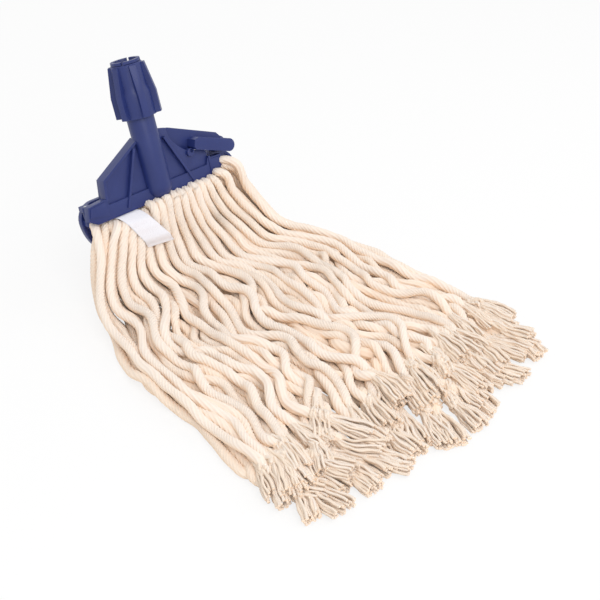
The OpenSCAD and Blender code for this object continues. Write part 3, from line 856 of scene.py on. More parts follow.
@dataclass
class YarnHead:
    """Four rows of twisted cotton strands that hang from the jaws and lie forwards on the floor."""

    clip: ClipFrame
    strands: int = 18
    hank_first: tuple[int, ...] = (0, 5, 9, 14, 18)
    head_w: float = 158 * MM
    head_x: float = 4 * MM
    strand_len: float = 494 * MM
    stagger: float = 30 * MM
    row_step: float = 15 * MM
    bend_r: float = 74 * MM
    mat_front: float = 7.3 * MM
    root_pitch: float = 3 * MM
    strand_t: float = 6.4 * MM
    drop_pitch: float = 7.6 * MM
    flat_pitch: float = 6.2 * MM
    flat_over: Stretch = (90 * MM, 120 * MM)
    bulge_len: float = 12 * MM
    spread_w: float = 364 * MM
    drift: float = 28 * MM
    half_reach: float = 164 * MM
    soft_reach: float = 0.12
    fan_power: float = 3.5
    radius: float = 5.0 * MM
    root_radius: float = 2.6 * MM
    swell_len: float = 6 * MM
    slub_lens: tuple[float, ...] = (37 * MM, 61 * MM, 103 * MM)
    slub_size: float = 0.085
    rear_swell: float = 1.15
    tuck: float = 9 * MM
    points: int = 110
    fine_points: int = 400
    row_offset: tuple[float, ...] = (-0.375, 0.125, -0.125, 0.375)
    offset_over: Stretch = (0.0, 30 * MM)
    root_stray: float = 1.1 * MM
    root_stray_over: Stretch = (0.0, 15 * MM)
    floor_stray: float = 4 * MM
    floor_stray_over: Stretch = (120 * MM, 250 * MM)
    wave: float = 10 * MM
    wave_len: float = 168 * MM
    wave_over: Stretch = (50 * MM, 100 * MM)
    ripple: float = 5 * MM
    ripple_len: float = 84 * MM
    ripple_over: Stretch = (80 * MM, 100 * MM)
    hop: float = 2.5 * MM
    hop_len: float = 110 * MM
    hop_over: Stretch = (100 * MM, 100 * MM)
    cross: float = 12 * MM
    cross_at: Stretch = (150 * MM, 250 * MM)
    cross_len: float = 45 * MM
    cross_lift: float = 5 * MM
    puff: float = 1.6 * MM
    puff_over: Stretch = (0.0, 10 * MM)
    puff_out: Stretch = (26 * MM, 60 * MM)
    shoulder: tuple[float, float] = (2.5 * MM, 5.5 * MM)
    shoulder_at: float = 10 * MM
    shoulder_len: float = 8 * MM
    edge_columns: Stretch = (0.7, 0.26)
    edge_calm: float = 0.55
    edge_pull: float = 7 * MM
    edge_pull_over: Stretch = (250 * MM, 200 * MM)
    bulge_over: Stretch = (0.0, 14 * MM)
    bulge_out: Stretch = (26 * MM, 70 * MM)
    left_bulge: float = 1 * MM
    right_bulge: float = 16 * MM
    right_lift: float = 17 * MM
    right_lift_at: float = 6 * MM
    right_lift_len: float = 13 * MM
    rounds: int = 72
    quick_rounds: int = 24
    search_every: int = 6
    free_over: Stretch = (2 * MM, 16 * MM)
    sink_over: Stretch = (100 * MM, 140 * MM)
    squeeze: float = 0.93
    push_share: float = 0.42
    crowd_weight: float = 0.35
    stiffness: float = 0.35
    sink: float = 0.28 * MM
    floor_gap: float = 0.7 * MM
    plate_depth: float = 20.6 * MM
    band_depth: float = 21.2 * MM
    band_foot: float = -40 * MM
    bar_depth: float = 6 * MM
    bar_front: float = 4 * MM
    bar_middle: float = 1.5 * MM
    bar_half: float = 84 * MM
    tag_x: float = -46 * MM
    tag_reach: float = 22 * MM
    tag_room: float = 1.6 * MM
    plies: int = 7
    twist_pitch: float = 36 * MM
    end_len: float = 42 * MM
    end_points: int = 24
    latch_columns: Stretch = (0.4, 0.6)
    latch_trim: float = 20 * MM
    singles: int = 32
    single_r: float = 1.6 * MM
    splice: float = 12 * MM
    flare: float = 7.5 * MM
    core_share: float = 0.45
    most_sag: float = 9 * MM
    end_bow: float = 2.2 * MM
    crimp_len: float = 20 * MM
    crimp: float = 0.55 * MM
    routes: np.ndarray = field(init=False)
    widths: np.ndarray = field(init=False)

    def row_way(self, row: Row, s: np.ndarray) -> np.ndarray:
        """Gives a row's depth and height at lengths s below the jaw.

        Args:
            row: the row.
            s: lengths along the lowest row.

        Returns:
            Depth and height from the jaw's lower edge, along the floor and straight up.
        """
        lean, bend = self.clip.lean, self.bend_r
        root = self.mat_front + 3.5 * self.root_pitch
        drop = (self.clip.origin[2] - self.strand_t / 2 - root * math.sin(lean)
                - bend * (1 - math.sin(lean))) / math.cos(lean)
        heading = np.where(s <= drop, lean, np.minimum(math.pi / 2, lean + (s - drop) / bend))
        normal = np.column_stack((-np.cos(heading), np.sin(heading)))
        start = root * np.array([math.cos(lean), -math.sin(lean)])
        down = np.array([-math.sin(lean), -math.cos(lean)])
        centre = start + down * drop + bend * np.array([-math.cos(lean), math.sin(lean)])
        bent = centre - bend * normal
        bent[:, 0] -= np.maximum(0.0, s - drop - bend * (math.pi / 2 - lean))
        floor = np.where((s <= drop)[:, None], start + down * s[:, None], bent)
        pitch = (self.root_pitch + (self.drop_pitch - self.root_pitch) * ease(s / self.bulge_len)
                 + (self.flat_pitch - self.drop_pitch) * ramp(s, self.flat_over))
        return floor + normal * ((Row.REAR.value - row.value) * pitch)[:, None]

    def lay(self) -> None:
        """Lays every strand on its way, then lets the strands push each other apart and sink."""
        rng = np.random.default_rng(SEED)
        lines = [self._first_line(row, i, rng) for row in Row for i in range(self.strands)]
        self.routes = np.array(lines)
        steps = np.linalg.norm(np.diff(self.routes, axis=1), axis=2)
        along = np.concatenate((np.zeros((len(lines), 1)), np.cumsum(steps, axis=1)), axis=1) - self.tuck
        slubs = np.zeros_like(along)
        for length in self.slub_lens:
            turn = rng.random((len(lines), 1)) * math.tau
            slubs += np.sin(along / length * math.tau + turn) / len(self.slub_lens)
        size = rng.normal(1.0, 0.05, (len(lines), 1)) + self.slub_size * slubs
        size[-self.strands:] *= self.rear_swell
        swell = ease(along / self.swell_len)
        self.widths = self.root_radius + (self.radius * size - self.root_radius) * swell
        self._settle(along)

    def _strand_end(self, row: Row, i: int) -> float:
        """Gives the length of strand i of a row, staggered as in the CAD model."""
        draw = math.sin(math.radians(i * 127.1 + row.value * 311.7)) * 4375.85
        shorter = (Row.REAR.value - row.value) * self.row_step
        return self.strand_len - shorter - self.stagger * (draw - math.floor(draw))

    def _rope_end(self, row: Row, i: int) -> float:
        """Gives the length at which strand i of a row opens into its tuft, sooner on the latch side."""
        latch_side = float(ramp(np.array((i + 0.5) / self.strands * 2 - 1), self.latch_columns))
        return self._strand_end(row, i) - self.end_len * 1.05 - self.latch_trim * latch_side

    def _first_line(self, row: Row, i: int, rng: np.random.Generator) -> np.ndarray:
        """Gives a strand's first route, with its waves.

        Args:
            row: the strand's row.
            i: its column.
            rng: the source of its small differences.

        Returns:
            The route's points.
        """
        s = np.linspace(-self.tuck, self._rope_end(row, i), self.fine_points)
        place = self.row_way(row, s)
        pitch = self.head_w / self.strands
        root_x = (i + 0.5 - self.strands / 2) * pitch
        fan = 1 - (1 - np.clip(s / self.strand_len, 0, 1)) ** self.fan_power
        spread = 1 + (self.spread_w / self.head_w - 1) * fan
        x = self.head_x + root_x * spread + (self.drift - self.head_x) * fan
        x += self.row_offset[row.value] * pitch * spread * ramp(s, self.offset_over)
        x += rng.normal(0, self.root_stray) * ramp(s, self.root_stray_over)
        edge_start, edge_span = self.edge_columns
        edge = np.clip((abs(root_x) / (self.head_w / 2) - edge_start) / edge_span, 0, 1) ** 1.5
        hump = ramp(s, self.bulge_over) * (1 - ramp(s, self.bulge_out))
        x += edge * hump * (self.right_bulge if root_x > 0 else -self.left_bulge)
        x -= edge * self.edge_pull * math.copysign(1.0, root_x) * ramp(s, self.edge_pull_over)
        hill = np.exp(-((s - self.right_lift_at) / self.right_lift_len) ** 2)
        lift = edge * self.right_lift * (root_x > 0) * hill
        calm = 1 - self.edge_calm * edge
        shift = 1.3 * math.sin(i * 0.37 + row.value * 0.5) + rng.normal(0, 0.22)
        size = calm * self.wave * (1 + 0.25 * rng.normal())
        length = self.wave_len * (1 + 0.05 * rng.normal())
        x += size * ramp(s, self.wave_over) * np.cos(s / length * math.tau + shift)
        length = self.ripple_len * (1 + 0.08 * rng.normal())
        turn = 0.4 * math.sin(i * 0.6 + row.value * 0.9) + rng.normal(0, 0.1)
        x += calm * self.ripple * ramp(s, self.ripple_over) * np.cos((s / length + turn) * math.tau)
        x += calm * rng.normal(0, self.floor_stray) * ramp(s, self.floor_stray_over)
        length = self.hop_len * (1 + 0.1 * rng.normal())
        hop = self.hop * ramp(s, self.hop_over) * np.cos((s / length + rng.random()) * math.tau)
        middle = self.cross_at[0] + self.cross_at[1] * rng.random()
        cross = calm * np.exp(-((s - middle) / self.cross_len) ** 2) * (1 - 0.3 * row.value)
        x += rng.normal(0, self.cross) * cross
        puff = ramp(s, self.puff_over) * (1 - ramp(s, self.puff_out))
        share = (x - self.drift) / self.half_reach
        beyond = np.maximum(0.0, np.abs(share) - (1 - self.soft_reach))
        kept = self.soft_reach * np.tanh(beyond / self.soft_reach)
        x = x - np.sign(share) * (beyond - kept) * self.half_reach
        line = np.column_stack((x, place)) + self.clip.origin
        line[:, 1] += rng.normal(0, self.puff) * puff
        lift = lift + self.cross_lift * rng.random() * cross
        if row is Row.FRONT:
            loose = 1 - math.exp(-((root_x + self.head_x - self.tag_x) / self.tag_reach) ** 4)
            rise = self.shoulder[0] + self.shoulder[1] * rng.random()
            lift = lift + loose * rise * np.exp(-((s - self.shoulder_at) / self.shoulder_len) ** 2)
        line[:, 2] += hop + lift
        reach = np.concatenate(([0.0], np.cumsum(np.linalg.norm(np.diff(line, axis=0), axis=1))))
        ticks = np.linspace(0.0, reach[-1], self.points)
        return np.column_stack([np.interp(ticks, reach, line[:, k]) for k in range(3)])

    def _settle(self, along: np.ndarray) -> None:
        """Moves the strands out of each other, down on each other and off the jaws.

        Args:
            along: each point's length below the jaw.
        """
        first = self.routes.copy()
        place = self.routes
        lanes, count = along.shape
        owner = np.repeat(np.arange(lanes), count)
        radii = (self.widths * self.squeeze).ravel()
        rest_step = np.linalg.norm(np.diff(first, axis=1), axis=2)
        free = ramp(along, self.free_over)[..., None]
        sink = ramp(along, self.sink_over) * self.sink
        rounds = self.rounds
        for turn in range(rounds):
            if turn % self.search_every == 0:
                a, b = self._near(place.reshape(-1, 3), owner, radii)
            before = place.copy()
            place[..., 2] -= sink * (1 - turn / rounds)
            flat = place.reshape(-1, 3)
            apart = flat[b] - flat[a]
            gap = np.maximum(np.linalg.norm(apart, axis=1), 1e-9)
            push = np.maximum(0.0, radii[a] + radii[b] - gap)
            hit = push > 0
            move = apart[hit] / gap[hit, None] * (push[hit, None] * self.push_share)
            shift, crowd = np.zeros_like(flat), np.ones(len(flat))
            for side, way in ((a, -move), (b, move)):
                np.add.at(shift, side[hit], way)
                np.add.at(crowd, side[hit], self.crowd_weight)
            place += (shift / crowd[:, None]).reshape(place.shape)
            bend = place - first
            place[:, 1:-1] += self.stiffness * (0.5 * (bend[:, :-2] + bend[:, 2:]) - bend[:, 1:-1])
            for odd in (0, 1):
                step = place[:, odd + 1::2] - place[:, odd:-1:2]
                size = np.linalg.norm(step, axis=2, keepdims=True)
                fix = step * (1 - rest_step[:, odd::2, None] / np.maximum(size, 1e-9)) * 0.5
                place[:, odd:-1:2] += fix
                place[:, odd + 1::2] -= fix
            place[:] = before + (place - before) * free
            self._keep_off(place)
        self.routes = place

    def _keep_off(self, place: np.ndarray) -> None:
        """Keeps strands above the floor, between the jaws, in front of the rear frame and under the tag."""
        place[..., 2] = np.maximum(place[..., 2], self.widths + self.floor_gap)
        deep, high = self.clip.depth_and_height(place)
        back = np.where(high > 0, self.plate_depth, self.band_depth) - self.widths
        over = np.where(high > self.band_foot, np.maximum(0.0, deep - back), 0.0)
        along_bar = np.abs(place[..., 0] - self.clip.origin[0]) < self.bar_half
        beside = (high > -0.7 * self.widths) & along_bar
        behind = beside & (deep > self.bar_middle)
        before = beside & (deep <= self.bar_middle)
        under = np.where(behind, np.maximum(0.0, self.bar_depth + self.widths - deep), 0.0)
        under += np.where(before, np.minimum(0.0, -self.bar_front - self.widths - deep), 0.0)
        place += (under - over)[..., None] * self.clip.depth
        by_tag = np.abs(place[..., 0] - self.clip.origin[0] - self.tag_x) < self.tag_reach
        below_bar = (deep < self.bar_depth) & (deep > -self.bar_depth - self.widths) & (high < self.widths)
        low = np.where(by_tag & below_bar, high + self.widths + self.tag_room, 0.0)
        place -= np.maximum(0.0, low)[..., None] * self.clip.up

    @staticmethod
    def _near(points: np.ndarray, owner: np.ndarray, radii: np.ndarray) -> tuple[np.ndarray, np.ndarray]:
        """Finds pairs of points of different strands that are close.

        Args:
            points: all strands' points.
            owner: each point's strand.
            radii: each point's radius.

        Returns:
            The pairs' first and second points.
        """
        tree = point_tree(points)
        reach = float(radii.max()) * 2 + 1.5 * MM
        lane = owner.tolist()
        pairs = [(k, m) for k, point in enumerate(points.tolist())
                 for _, m, _ in tree.find_range(point, reach) if m > k and lane[m] != lane[k]]
        found = np.array(pairs, dtype=np.int64).reshape(-1, 2)
        return found[:, 0], found[:, 1]

    def build(self, effects: Effects, sweeper: SweptStrands) -> None:
        """Makes each hank's strands and their frayed ends."""
        rope = {"Ring Spacing": 2.4 * MM, "Lobes": self.plies, "Lobe Sides": 4, "Groove Depth": 0.11,
                "Twist Pitch": self.twist_pitch, "Material": HEAD_YARN.material(effects)}
        loose = {"Ring Spacing": 1.9 * MM, "Lobes": 6, "Lobe Sides": 1, "Groove Depth": 0.0,
                 "Twist Pitch": 14 * MM, "Material": YARN_ENDS.material(effects)}
        rng = np.random.default_rng(SEED + 1)
        tree = point_tree(self.routes.reshape(-1, 3))
        for row in Row:
            for hank, (low, high) in enumerate(zip(self.hank_first[:-1], self.hank_first[1:])):
                name = f"yarn_{row.name.lower()}_{hank + 1}"
                picked = range(row.value * self.strands + low, row.value * self.strands + high)
                lines = [self.routes[k] for k in picked]
                sizes = [self._rope_size(k) for k in picked]
                turns = [self._loose_turns(rng) for _ in picked]
                # Painted shade: lower rows, seen mostly in the gaps between upper strands, get a warmer
                # colour; the random part is real variation between strands.
                tones_and_row_shade = 0.3 * row.value + 0.1 + 0.35 * rng.random(len(picked))
                piece = sweeper.sweep(f"{name}_strands", lines, sizes, tones_and_row_shade, turns, rope)
                settle_piece(piece, Body.MOP, Slot.YARN, name)
                tufts = [single for k in picked for single in self._frayed_end(k, rng, tree)]
                hairs, thin = [way for way, _ in tufts], [size for _, size in tufts]
                turns = [np.full(len(hair), rng.random()) for hair in hairs]
                piece = sweeper.sweep(f"{name}_ends", hairs, thin, rng.random(len(hairs)), turns, loose)
                settle_piece(piece, Body.MOP, Slot.YARN)

    def _loose_turns(self, rng: np.random.Generator) -> np.ndarray:
        """Gives a strand's extra turns at its points, as its twist is tighter here and looser there."""
        share = np.linspace(0.0, 1.0, self.points)
        turns = rng.random() + share * rng.normal(0, 2.2)
        for waves in (2, 3, 5):
            turns = turns + rng.normal(0, 0.8) / waves * np.sin((share * waves + rng.random()) * math.tau)
        return turns

    def _rope_size(self, k: int) -> np.ndarray:
        """Gives a strand's radius at its points, drawn in a little at its end."""
        line = self.routes[k]
        left = np.concatenate((np.cumsum(np.linalg.norm(np.diff(line[::-1], axis=0), axis=1))[::-1], [0.0]))
        return self.widths[k] * (0.7 + 0.3 * ease(left / (10 * MM)))

    def _end_way(self, k: int, rng: np.random.Generator) -> np.ndarray:
        """Gives the direction of a strand's tuft, fanned out a little at the mop's sides."""
        line = self.routes[k]
        ahead = unit(line[-1] - line[-6]) * np.array([0.75, 1.0, 0.25])
        from_middle = line[-1][0] - self.clip.origin[0] - self.drift
        side_share = float(np.clip(from_middle / (self.spread_w / 2), -1, 1))
        ahead = unit(ahead + np.array([0.3 * side_share * abs(side_share), 0.0, 0.0]))
        yaw = rng.normal(0, 0.1)
        return np.array([ahead[0] * math.cos(yaw) - ahead[1] * math.sin(yaw),
                         ahead[0] * math.sin(yaw) + ahead[1] * math.cos(yaw), ahead[2]])

    def _frayed_end(self, k: int, rng: np.random.Generator, tree: KDTree) -> list[
            tuple[np.ndarray, np.ndarray]]:
        """Opens a strand's end into a dense tuft: a loose core with crimped singles round it.

        Args:
            k: the strand.
            rng: the source of their differences.
            tree: all strands' points, which the singles lie on.

        Returns:
            The points and radii of the core and of each single.
        """
        tip = self.routes[k][-1]
        ahead = self._end_way(k, rng)
        side = unit(np.cross(ahead, [0.0, 0.0, 1.0]))
        up = np.cross(side, ahead)
        steps = np.linspace(0.0, 1.0, self.end_points)
        root = self.radius * 0.8
        flare = self.flare * (0.7 + 0.6 * rng.random())
        reach = self.end_len * (0.88 + 0.1 * rng.random())
        bow = rng.normal(0, self.end_bow) * np.sin(steps * math.pi * 1.2)
        sag = np.minimum(self.most_sag, 0.4 * max(0.0, tip[2] - self.radius)) * steps ** 1.5
        core = tip + np.outer(steps * reach * 0.8 - 8 * MM, ahead) + np.outer(bow, side)
        core_r = self.core_share * (root + flare * ease(steps * 1.1)) * (1 - 0.9 * ease(steps * 2.5 - 1.5))
        core[:, 2] = np.maximum(core[:, 2] - sag, core_r + 1.2 * MM)
        hairs = [(core, core_r)]
        for n in range(self.singles):
            angle = n * GOLDEN_ANGLE + rng.random() * 0.4
            inner = n % 4 == 3
            ring = 0.2 + 0.3 * rng.random() if inner else 0.72 + 0.28 * rng.random()
            length = reach * (0.9 + 0.1 * rng.random()) + self.splice
            out = ring * (root + flare * (0.7 + 0.5 * rng.random()) * ease(steps * 1.2))
            crimp = self.crimp_len * (0.85 + 0.3 * rng.random())
            coil = (steps * length / crimp + 0.12 * angle + 0.3 * rng.random()) * math.tau
            swing = self.crimp * (0.6 + 0.6 * rng.random()) * ease(steps * 3)
            hair = (tip + np.outer(steps * length - self.splice, ahead)
                    + np.outer(math.cos(angle) * out + swing * np.sin(coil) + bow, side)
                    + np.outer(math.sin(angle) * out * 0.75 + swing * np.cos(coil) * 0.6, up))
            hair[:, 2] -= sag
            self._lie(hair, k, tree)
            hairs.append((hair, np.full(len(hair), self.single_r * (0.8 + 0.4 * rng.random()))))
        return hairs

    def _lie(self, hair: np.ndarray, k: int, tree: KDTree) -> None:
        """Lifts a single's points off the other strands and the floor."""
        keep = self.radius + self.single_r * 0.6
        for n, point in enumerate(hair):
            near, m, gap = tree.find(point)
            if m // self.points != k and gap < keep:
                way = point - np.array(near)
                way[2] = abs(way[2]) + 0.2 * MM
                hair[n] = np.array(near) + unit(way) * keep
        hair[:, 2] = np.maximum(hair[:, 2], self.single_r * 1.35 + 0.5 * MM)


class StitchRows:
    """Geometry Nodes tree that sets one stitch after another along every polyline of a mesh."""

    def __init__(self) -> None:
        """Builds the tree with its named inputs."""
        self.tree, sheet, given, out = node_group("stitch_rows", GEOMETRY_TREE, {
            "Geometry": GEOMETRY, "Pitch": FLOAT, "Stitch Length": FLOAT, "Thread Radius": FLOAT,
            "Material": MATERIAL}, {"Geometry": GEOMETRY})
        lines = sheet.step("GeometryNodeMeshToCurve", {0: given["Geometry"]})
        spaced = {"Curve": lines, "Length": given["Pitch"]}
        spots = sheet.step("GeometryNodeCurveToPoints", spaced, "Points", mode="LENGTH")
        bead = sheet.step("GeometryNodeMeshUVSphere", {"Segments": 6, "Rings": 5, "Radius": 1.0}, "Mesh")
        half = sheet.math("MULTIPLY", given["Stitch Length"], 0.5)
        size = sheet.join(half, given["Thread Radius"], given["Thread Radius"])
        parts = sheet.split(sheet.add("GeometryNodeInputPosition").outputs[0])
        stitch = sheet.store(bead, "fibre", "FLOAT_VECTOR", sheet.join(parts[1], parts[2], parts[0]))
        set_out = {"Points": spots, "Instance": stitch, "Scale": size}
        rows = sheet.step("GeometryNodeInstanceOnPoints", set_out)
        sheet.feed(out, {0: sheet.dress(rows, given["Material"])})

    def sew(self, name: str, rows: list[np.ndarray], settings: dict[str, object]) -> Piece:
        """Sews stitches along rows into one plain mesh.

        Args:
            name: the piece's name.
            rows: each row's two ends.
            settings: the tree's inputs by name.

        Returns:
            The stitches.
        """
        return grown_piece(line_mesh(name, rows), self.tree, settings)


def cloth_mesh(name: str, grid: np.ndarray, flat: np.ndarray, thickness: float) -> Piece:
    """Makes a sheet of cloth with thickness from a grid of points.

    Args:
        name: the piece's name.
        grid: points in rows and columns.
        flat: each point's place on the flat cloth, in metres.
        thickness: the cloth's thickness.

    Returns:
        The cloth, as a plain closed mesh.
    """
    rows, columns = grid.shape[:2]
    faces = [(r * columns + c, r * columns + c + 1, (r + 1) * columns + c + 1, (r + 1) * columns + c)
             for r in range(rows - 1) for c in range(columns - 1)]
    mesh = bpy.data.meshes.new(name)
    mesh.from_pydata(grid.reshape(-1, 3).tolist(), [], faces)
    layer = mesh.uv_layers.new(name="flat")
    places = flat.reshape(-1, 2)
    for loop in mesh.loops:
        layer.data[loop.index].uv = places[loop.vertex_index]
    mesh.shade_smooth()
    piece = piece_from(mesh, name)
    solid = piece.modifiers.new("thickness", "SOLIDIFY")
    solid.thickness = thickness
    solid.offset = 0.0
    solid.use_even_offset = True
    bake_modifiers(piece)
    return piece


@dataclass
class Headband:
    """Woven tape folded over the gathered yarn, with rows of stitches through it."""

    clip: ClipFrame
    width: float = 158 * MM
    head_x: float = 4 * MM
    front: float = 6.5 * MM
    back: float = 20.1 * MM
    foot: float = 2 * MM
    top: float = 15.6 * MM
    tape_t: float = 0.7 * MM
    fold_r: float = 2.2 * MM
    stitch_heights: tuple[float, ...] = (5.3 * MM, 8.5 * MM, 11.7 * MM)
    stitch_pitch: float = 3.2 * MM
    stitch_len: float = 2.7 * MM
    stitch_inset: float = 4 * MM
    stitch_proud: float = 0.1 * MM
    thread_r: float = 0.36 * MM
    pucker: float = 0.1 * MM

    def _section(self) -> np.ndarray:
        """Gives the folded tape's section as depth and height, from front foot to back foot."""
        half = self.tape_t / 2
        y0, y1, z0, z1 = self.front + half, self.back - half, self.foot, self.top - half
        turns = np.linspace(0.0, math.pi / 2, 5)
        over, down = self.fold_r * (1 - np.cos(turns)), self.fold_r * (1 - np.sin(turns))
        left = np.column_stack((y0 + over, z1 - down))
        right = np.column_stack((y1 - over, z1 - down))[::-1]
        rise = np.linspace(z0, z1 - self.fold_r, 9)[:-1]
        return np.concatenate((np.column_stack((np.full(8, y0), rise)), left, right,
                               np.column_stack((np.full(8, y1), rise[::-1]))))

    def build(self, effects: Effects, stitcher: StitchRows) -> None:
        """Makes the tape and its stitches."""
        section = self._section()
        across = np.concatenate(([0.0], np.cumsum(np.linalg.norm(np.diff(section, axis=0), axis=1))))
        columns = np.linspace(0.0, self.width, 113)
        pucker = self.pucker * np.sin(columns / self.stitch_pitch * math.tau)
        inward = np.where(section[:, 0] < (self.front + self.back) / 2, 1.0, -1.0)
        y = section[None, :, 0] + inward[None, :] * (pucker[:, None] + self.pucker)
        z = np.broadcast_to(section[None, :, 1], y.shape)
        x = np.broadcast_to((columns + self.head_x - self.width / 2)[:, None], y.shape)
        flat = np.stack(np.broadcast_arrays(columns[:, None], across[None, :]), axis=2)
        tape = cloth_mesh("headband_tape", self.clip.place(x, y, z), flat, self.tape_t)
        tape.data.materials.append(HEAD_TAPE.material(effects))
        settle_piece(tape, Body.MOP, Slot.TAPE, "headband")
        ends = self.head_x + np.array([-1.0, 1.0]) * (self.width / 2 - self.stitch_inset)
        rows = [self.clip.place(ends, np.full(2, y), np.full(2, z))
                for y in (self.front - self.stitch_proud, self.back + self.stitch_proud)
                for z in self.stitch_heights]
        seams = stitcher.sew("headband_stitches", rows, {
            "Pitch": self.stitch_pitch, "Stitch Length": self.stitch_len, "Thread Radius": self.thread_r,
            "Material": SEWING_THREAD.material(effects)})
        settle_piece(seams, Body.MOP, Slot.THREAD, "stitching")


@dataclass
class ClothTag:
    """Bare ribbon tag, sewn into the headband and lying on the front strands."""

    clip: ClipFrame
    head: YarnHead
    width: float = 28 * MM
    length: float = 54 * MM
    tuck: float = 3 * MM
    bend: float = 2 * MM
    under: float = 9 * MM
    over_edge: float = 8 * MM
    lay_len: float = 6 * MM
    root_depth: float = 6.25 * MM
    root_height: float = 2 * MM
    x: float = -49 * MM
    slant: float = 0.55
    curl: float = 10 * MM
    thickness: float = 0.4 * MM
    clearance: float = 0.6 * MM
    lay_rounds: int = 14
    softness: float = 0.3
    rows: int = 60
    columns: int = 25

    def build(self, effects: Effects) -> None:
        """Leads the tag down behind the jaw's bar and under it, and drapes it over the strands."""
        s = np.linspace(-self.tuck, self.length, self.rows)
        u = np.linspace(-0.5, 0.5, self.columns) * self.width
        step = (self.length + self.tuck) / (len(s) - 1)
        forward = ease((s + self.bend) / self.bend) * (1 - ease((s - self.under) / self.over_edge))
        turn = math.pi / 2 * forward
        y = self.root_depth - step * np.cumsum(np.sin(turn))
        z = self.root_height - step * np.cumsum(np.cos(turn))
        x = self.x + self.slant * np.maximum(s - self.under, 0)[:, None] + u[None, :]
        grid = self.clip.place(x, y[:, None], z[:, None])
        away = (-np.cos(turn)[:, None] * self.clip.depth + np.sin(turn)[:, None] * self.clip.up)[:, None, :]
        hanging = ease((s - self.under) / (self.length - self.under))
        turned = hanging[:, None] * (u / self.width + 0.5)[None, :]
        grid += away * (self.curl * turned)[..., None]
        self._rest_on_strands(grid, away, s)
        flat = np.stack(np.broadcast_arrays(u[None, :], s[:, None]), axis=2)
        tag = cloth_mesh("cloth_tag_ribbon", grid, flat, self.thickness)
        tag.data.materials.append(TAG_CLOTH.material(effects))
        settle_piece(tag, Body.MOP, Slot.TAG, "cloth_tag")

    def _rest_on_strands(self, grid: np.ndarray, away: np.ndarray, s: np.ndarray) -> None:
        """Pushes the tag's rows of points off the strands and smooths its length.

        Args:
            grid: the tag's points, changed in place.
            away: the direction off the strands at each row of points.
            s: each row's length below the jaw.
        """
        front = self.head.routes[:self.head.strands].reshape(-1, 3)
        sizes = self.head.widths[:self.head.strands].ravel()
        tree = point_tree(front)
        held = ease((s - self.under) / self.lay_len)[:, None, None]
        for _ in range(self.lay_rounds):
            lift = np.zeros((grid.shape[0], 1, 1))
            for r in range(grid.shape[0]):
                found = [tree.find(point) for point in grid[r]]
                lift[r] = max(0.0, max(sizes[m] + self.clearance - gap for _, m, gap in found))
            grid += away * lift * held
            soft = grid.copy()
            soft[1:-1] += self.softness * (grid[:-2] + grid[2:] - 2 * grid[1:-1])
            grid[:] = grid + (soft - grid) * held


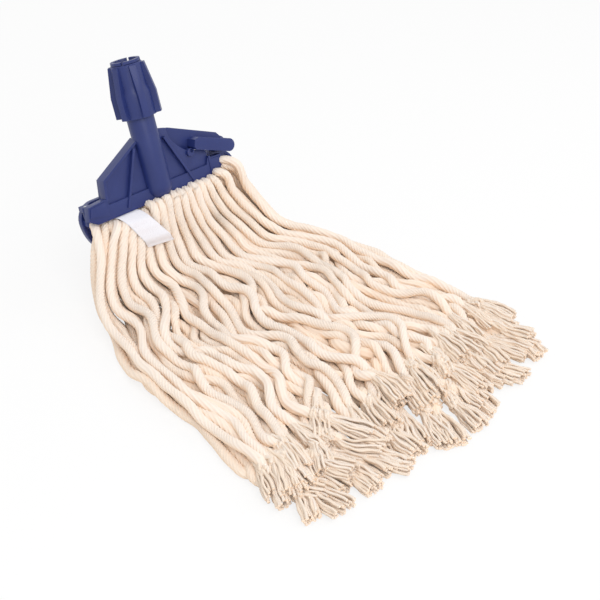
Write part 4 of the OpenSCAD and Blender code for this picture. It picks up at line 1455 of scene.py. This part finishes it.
@dataclass
class Studio:
    """Pale floor, soft lamps and the camera, which aims at a point below and before the clip."""

    clip: ClipFrame
    azimuth: float = math.radians(-42.43)
    elevation: float = math.radians(35.425)
    distance: float = 1124.1 * MM
    aim: tuple[float, float, float] = (19.07 * MM, -205.28 * MM, -40 * MM)
    lens: float = 66.0
    floor_size: float = 6.0
    glow: float = 0.8
    sky_light: float = 0.72
    lamp_aim: tuple[float, float, float] = (0.0, 0.0, 0.05)
    lamps: tuple[tuple[str, tuple[float, float, float], float, float], ...] = (
        ("key_lamp", (-0.45, -1.0, 1.3), 1.0, 10.2),
        ("fill_lamp", (0.9, -0.6, 1.0), 1.2, 3.4),
        ("back_lamp", (0.3, 1.3, 1.3), 1.2, 2.6),
    )

    def build(self) -> None:
        """Sets up the whole studio."""
        self._floor()
        self._world()
        for name, place, size, power in self.lamps:
            self._lamp(name, Vector(place), size, power)
        self._camera()
        bpy.context.scene.view_settings.view_transform = "Standard"

    def _floor(self) -> None:
        """Lays the floor, which is white to the camera apart from the shadow."""
        half = self.floor_size / 2
        mesh = bpy.data.meshes.new("floor")
        corners = [(-half, -half, 0), (half, -half, 0), (half, half, 0), (-half, half, 0)]
        mesh.from_pydata(corners, [], [(0, 1, 2, 3)])
        floor = piece_from(mesh, "floor")
        material = bpy.data.materials.new("studio_floor")
        material.use_nodes = True
        sheet = NodeSheet(material.node_tree)
        shader = sheet.step("ShaderNodeBsdfPrincipled", {
            "Base Color": (0.92, 0.92, 0.92, 1.0), "Roughness": 0.9, "Specular IOR Level": 0.0})
        glow = sheet.add("ShaderNodeEmission").outputs[0]
        share = sheet.math("MULTIPLY", self._seen(sheet), self.glow)
        mixed = sheet.step("ShaderNodeMixShader", {0: share, 1: shader, 2: glow})
        sheet.feed(sheet.add("ShaderNodeOutputMaterial"), {"Surface": mixed})
        mesh.materials.append(material)

    @staticmethod
    def _seen(sheet: NodeSheet) -> Socket:
        """Marks the rays by which something is seen, and not those that only light it."""
        path = sheet.add("ShaderNodeLightPath").outputs
        mirrored = sheet.math("MAXIMUM", path["Is Glossy Ray"], path["Is Transmission Ray"])
        return sheet.math("MAXIMUM", path["Is Camera Ray"], mirrored)

    def _world(self) -> None:
        """Lights the scene with an even pale sky that the camera sees as white."""
        world = bpy.data.worlds.new("studio_sky")
        world.use_nodes = True
        sheet = NodeSheet(world.node_tree)
        strength = sheet.stretch(self._seen(sheet), 0.0, 1.0, self.sky_light, 1.0)
        sky = sheet.step("ShaderNodeBackground", {"Color": (1.0, 1.0, 1.0, 1.0), "Strength": strength})
        sheet.feed(sheet.add("ShaderNodeOutputWorld"), {"Surface": sky})
        bpy.context.scene.world = world

    def _lamp(self, name: str, place: Vector, size: float, power: float) -> None:
        """Hangs a square soft lamp that faces the mop."""
        light = bpy.data.lights.new(name, "AREA")
        light.size = size
        light.energy = power
        lamp = bpy.data.objects.new(name, light)
        lamp.location = place
        lamp.rotation_euler = (Vector(self.lamp_aim) - place).to_track_quat("-Z", "Y").to_euler()
        bpy.context.scene.collection.objects.link(lamp)

    def _camera(self) -> None:
        """Sets the camera at the photograph's viewing angle."""
        back = Vector((math.sin(self.azimuth) * math.cos(self.elevation),
                       -math.cos(self.azimuth) * math.cos(self.elevation), math.sin(self.elevation)))
        optics = bpy.data.cameras.new("studio_camera")
        optics.sensor_width = 36.0
        optics.lens = self.lens
        camera = bpy.data.objects.new("studio_camera", optics)
        camera.location = Vector(self.clip.origin) + Vector(self.aim) + back * self.distance
        camera.rotation_euler = (-back).to_track_quat("-Z", "Y").to_euler()
        bpy.context.scene.collection.objects.link(camera)
        bpy.context.scene.camera = camera


def main() -> None:
    """Builds the mop and its studio in order."""
    logging.basicConfig(level=logging.INFO, format="%(name)s: %(message)s")
    clip = ClipFrame.from_record(socket_h=154 * MM)
    Studio(clip).build()
    effects = Effects()
    RigidClip(clip).build(effects)
    Headband(clip).build(effects, StitchRows())
    head = YarnHead(clip)
    head.lay()
    head.build(effects, SweptStrands())
    ClothTag(clip, head).build(effects)


if __name__ == "__main__":
    main()
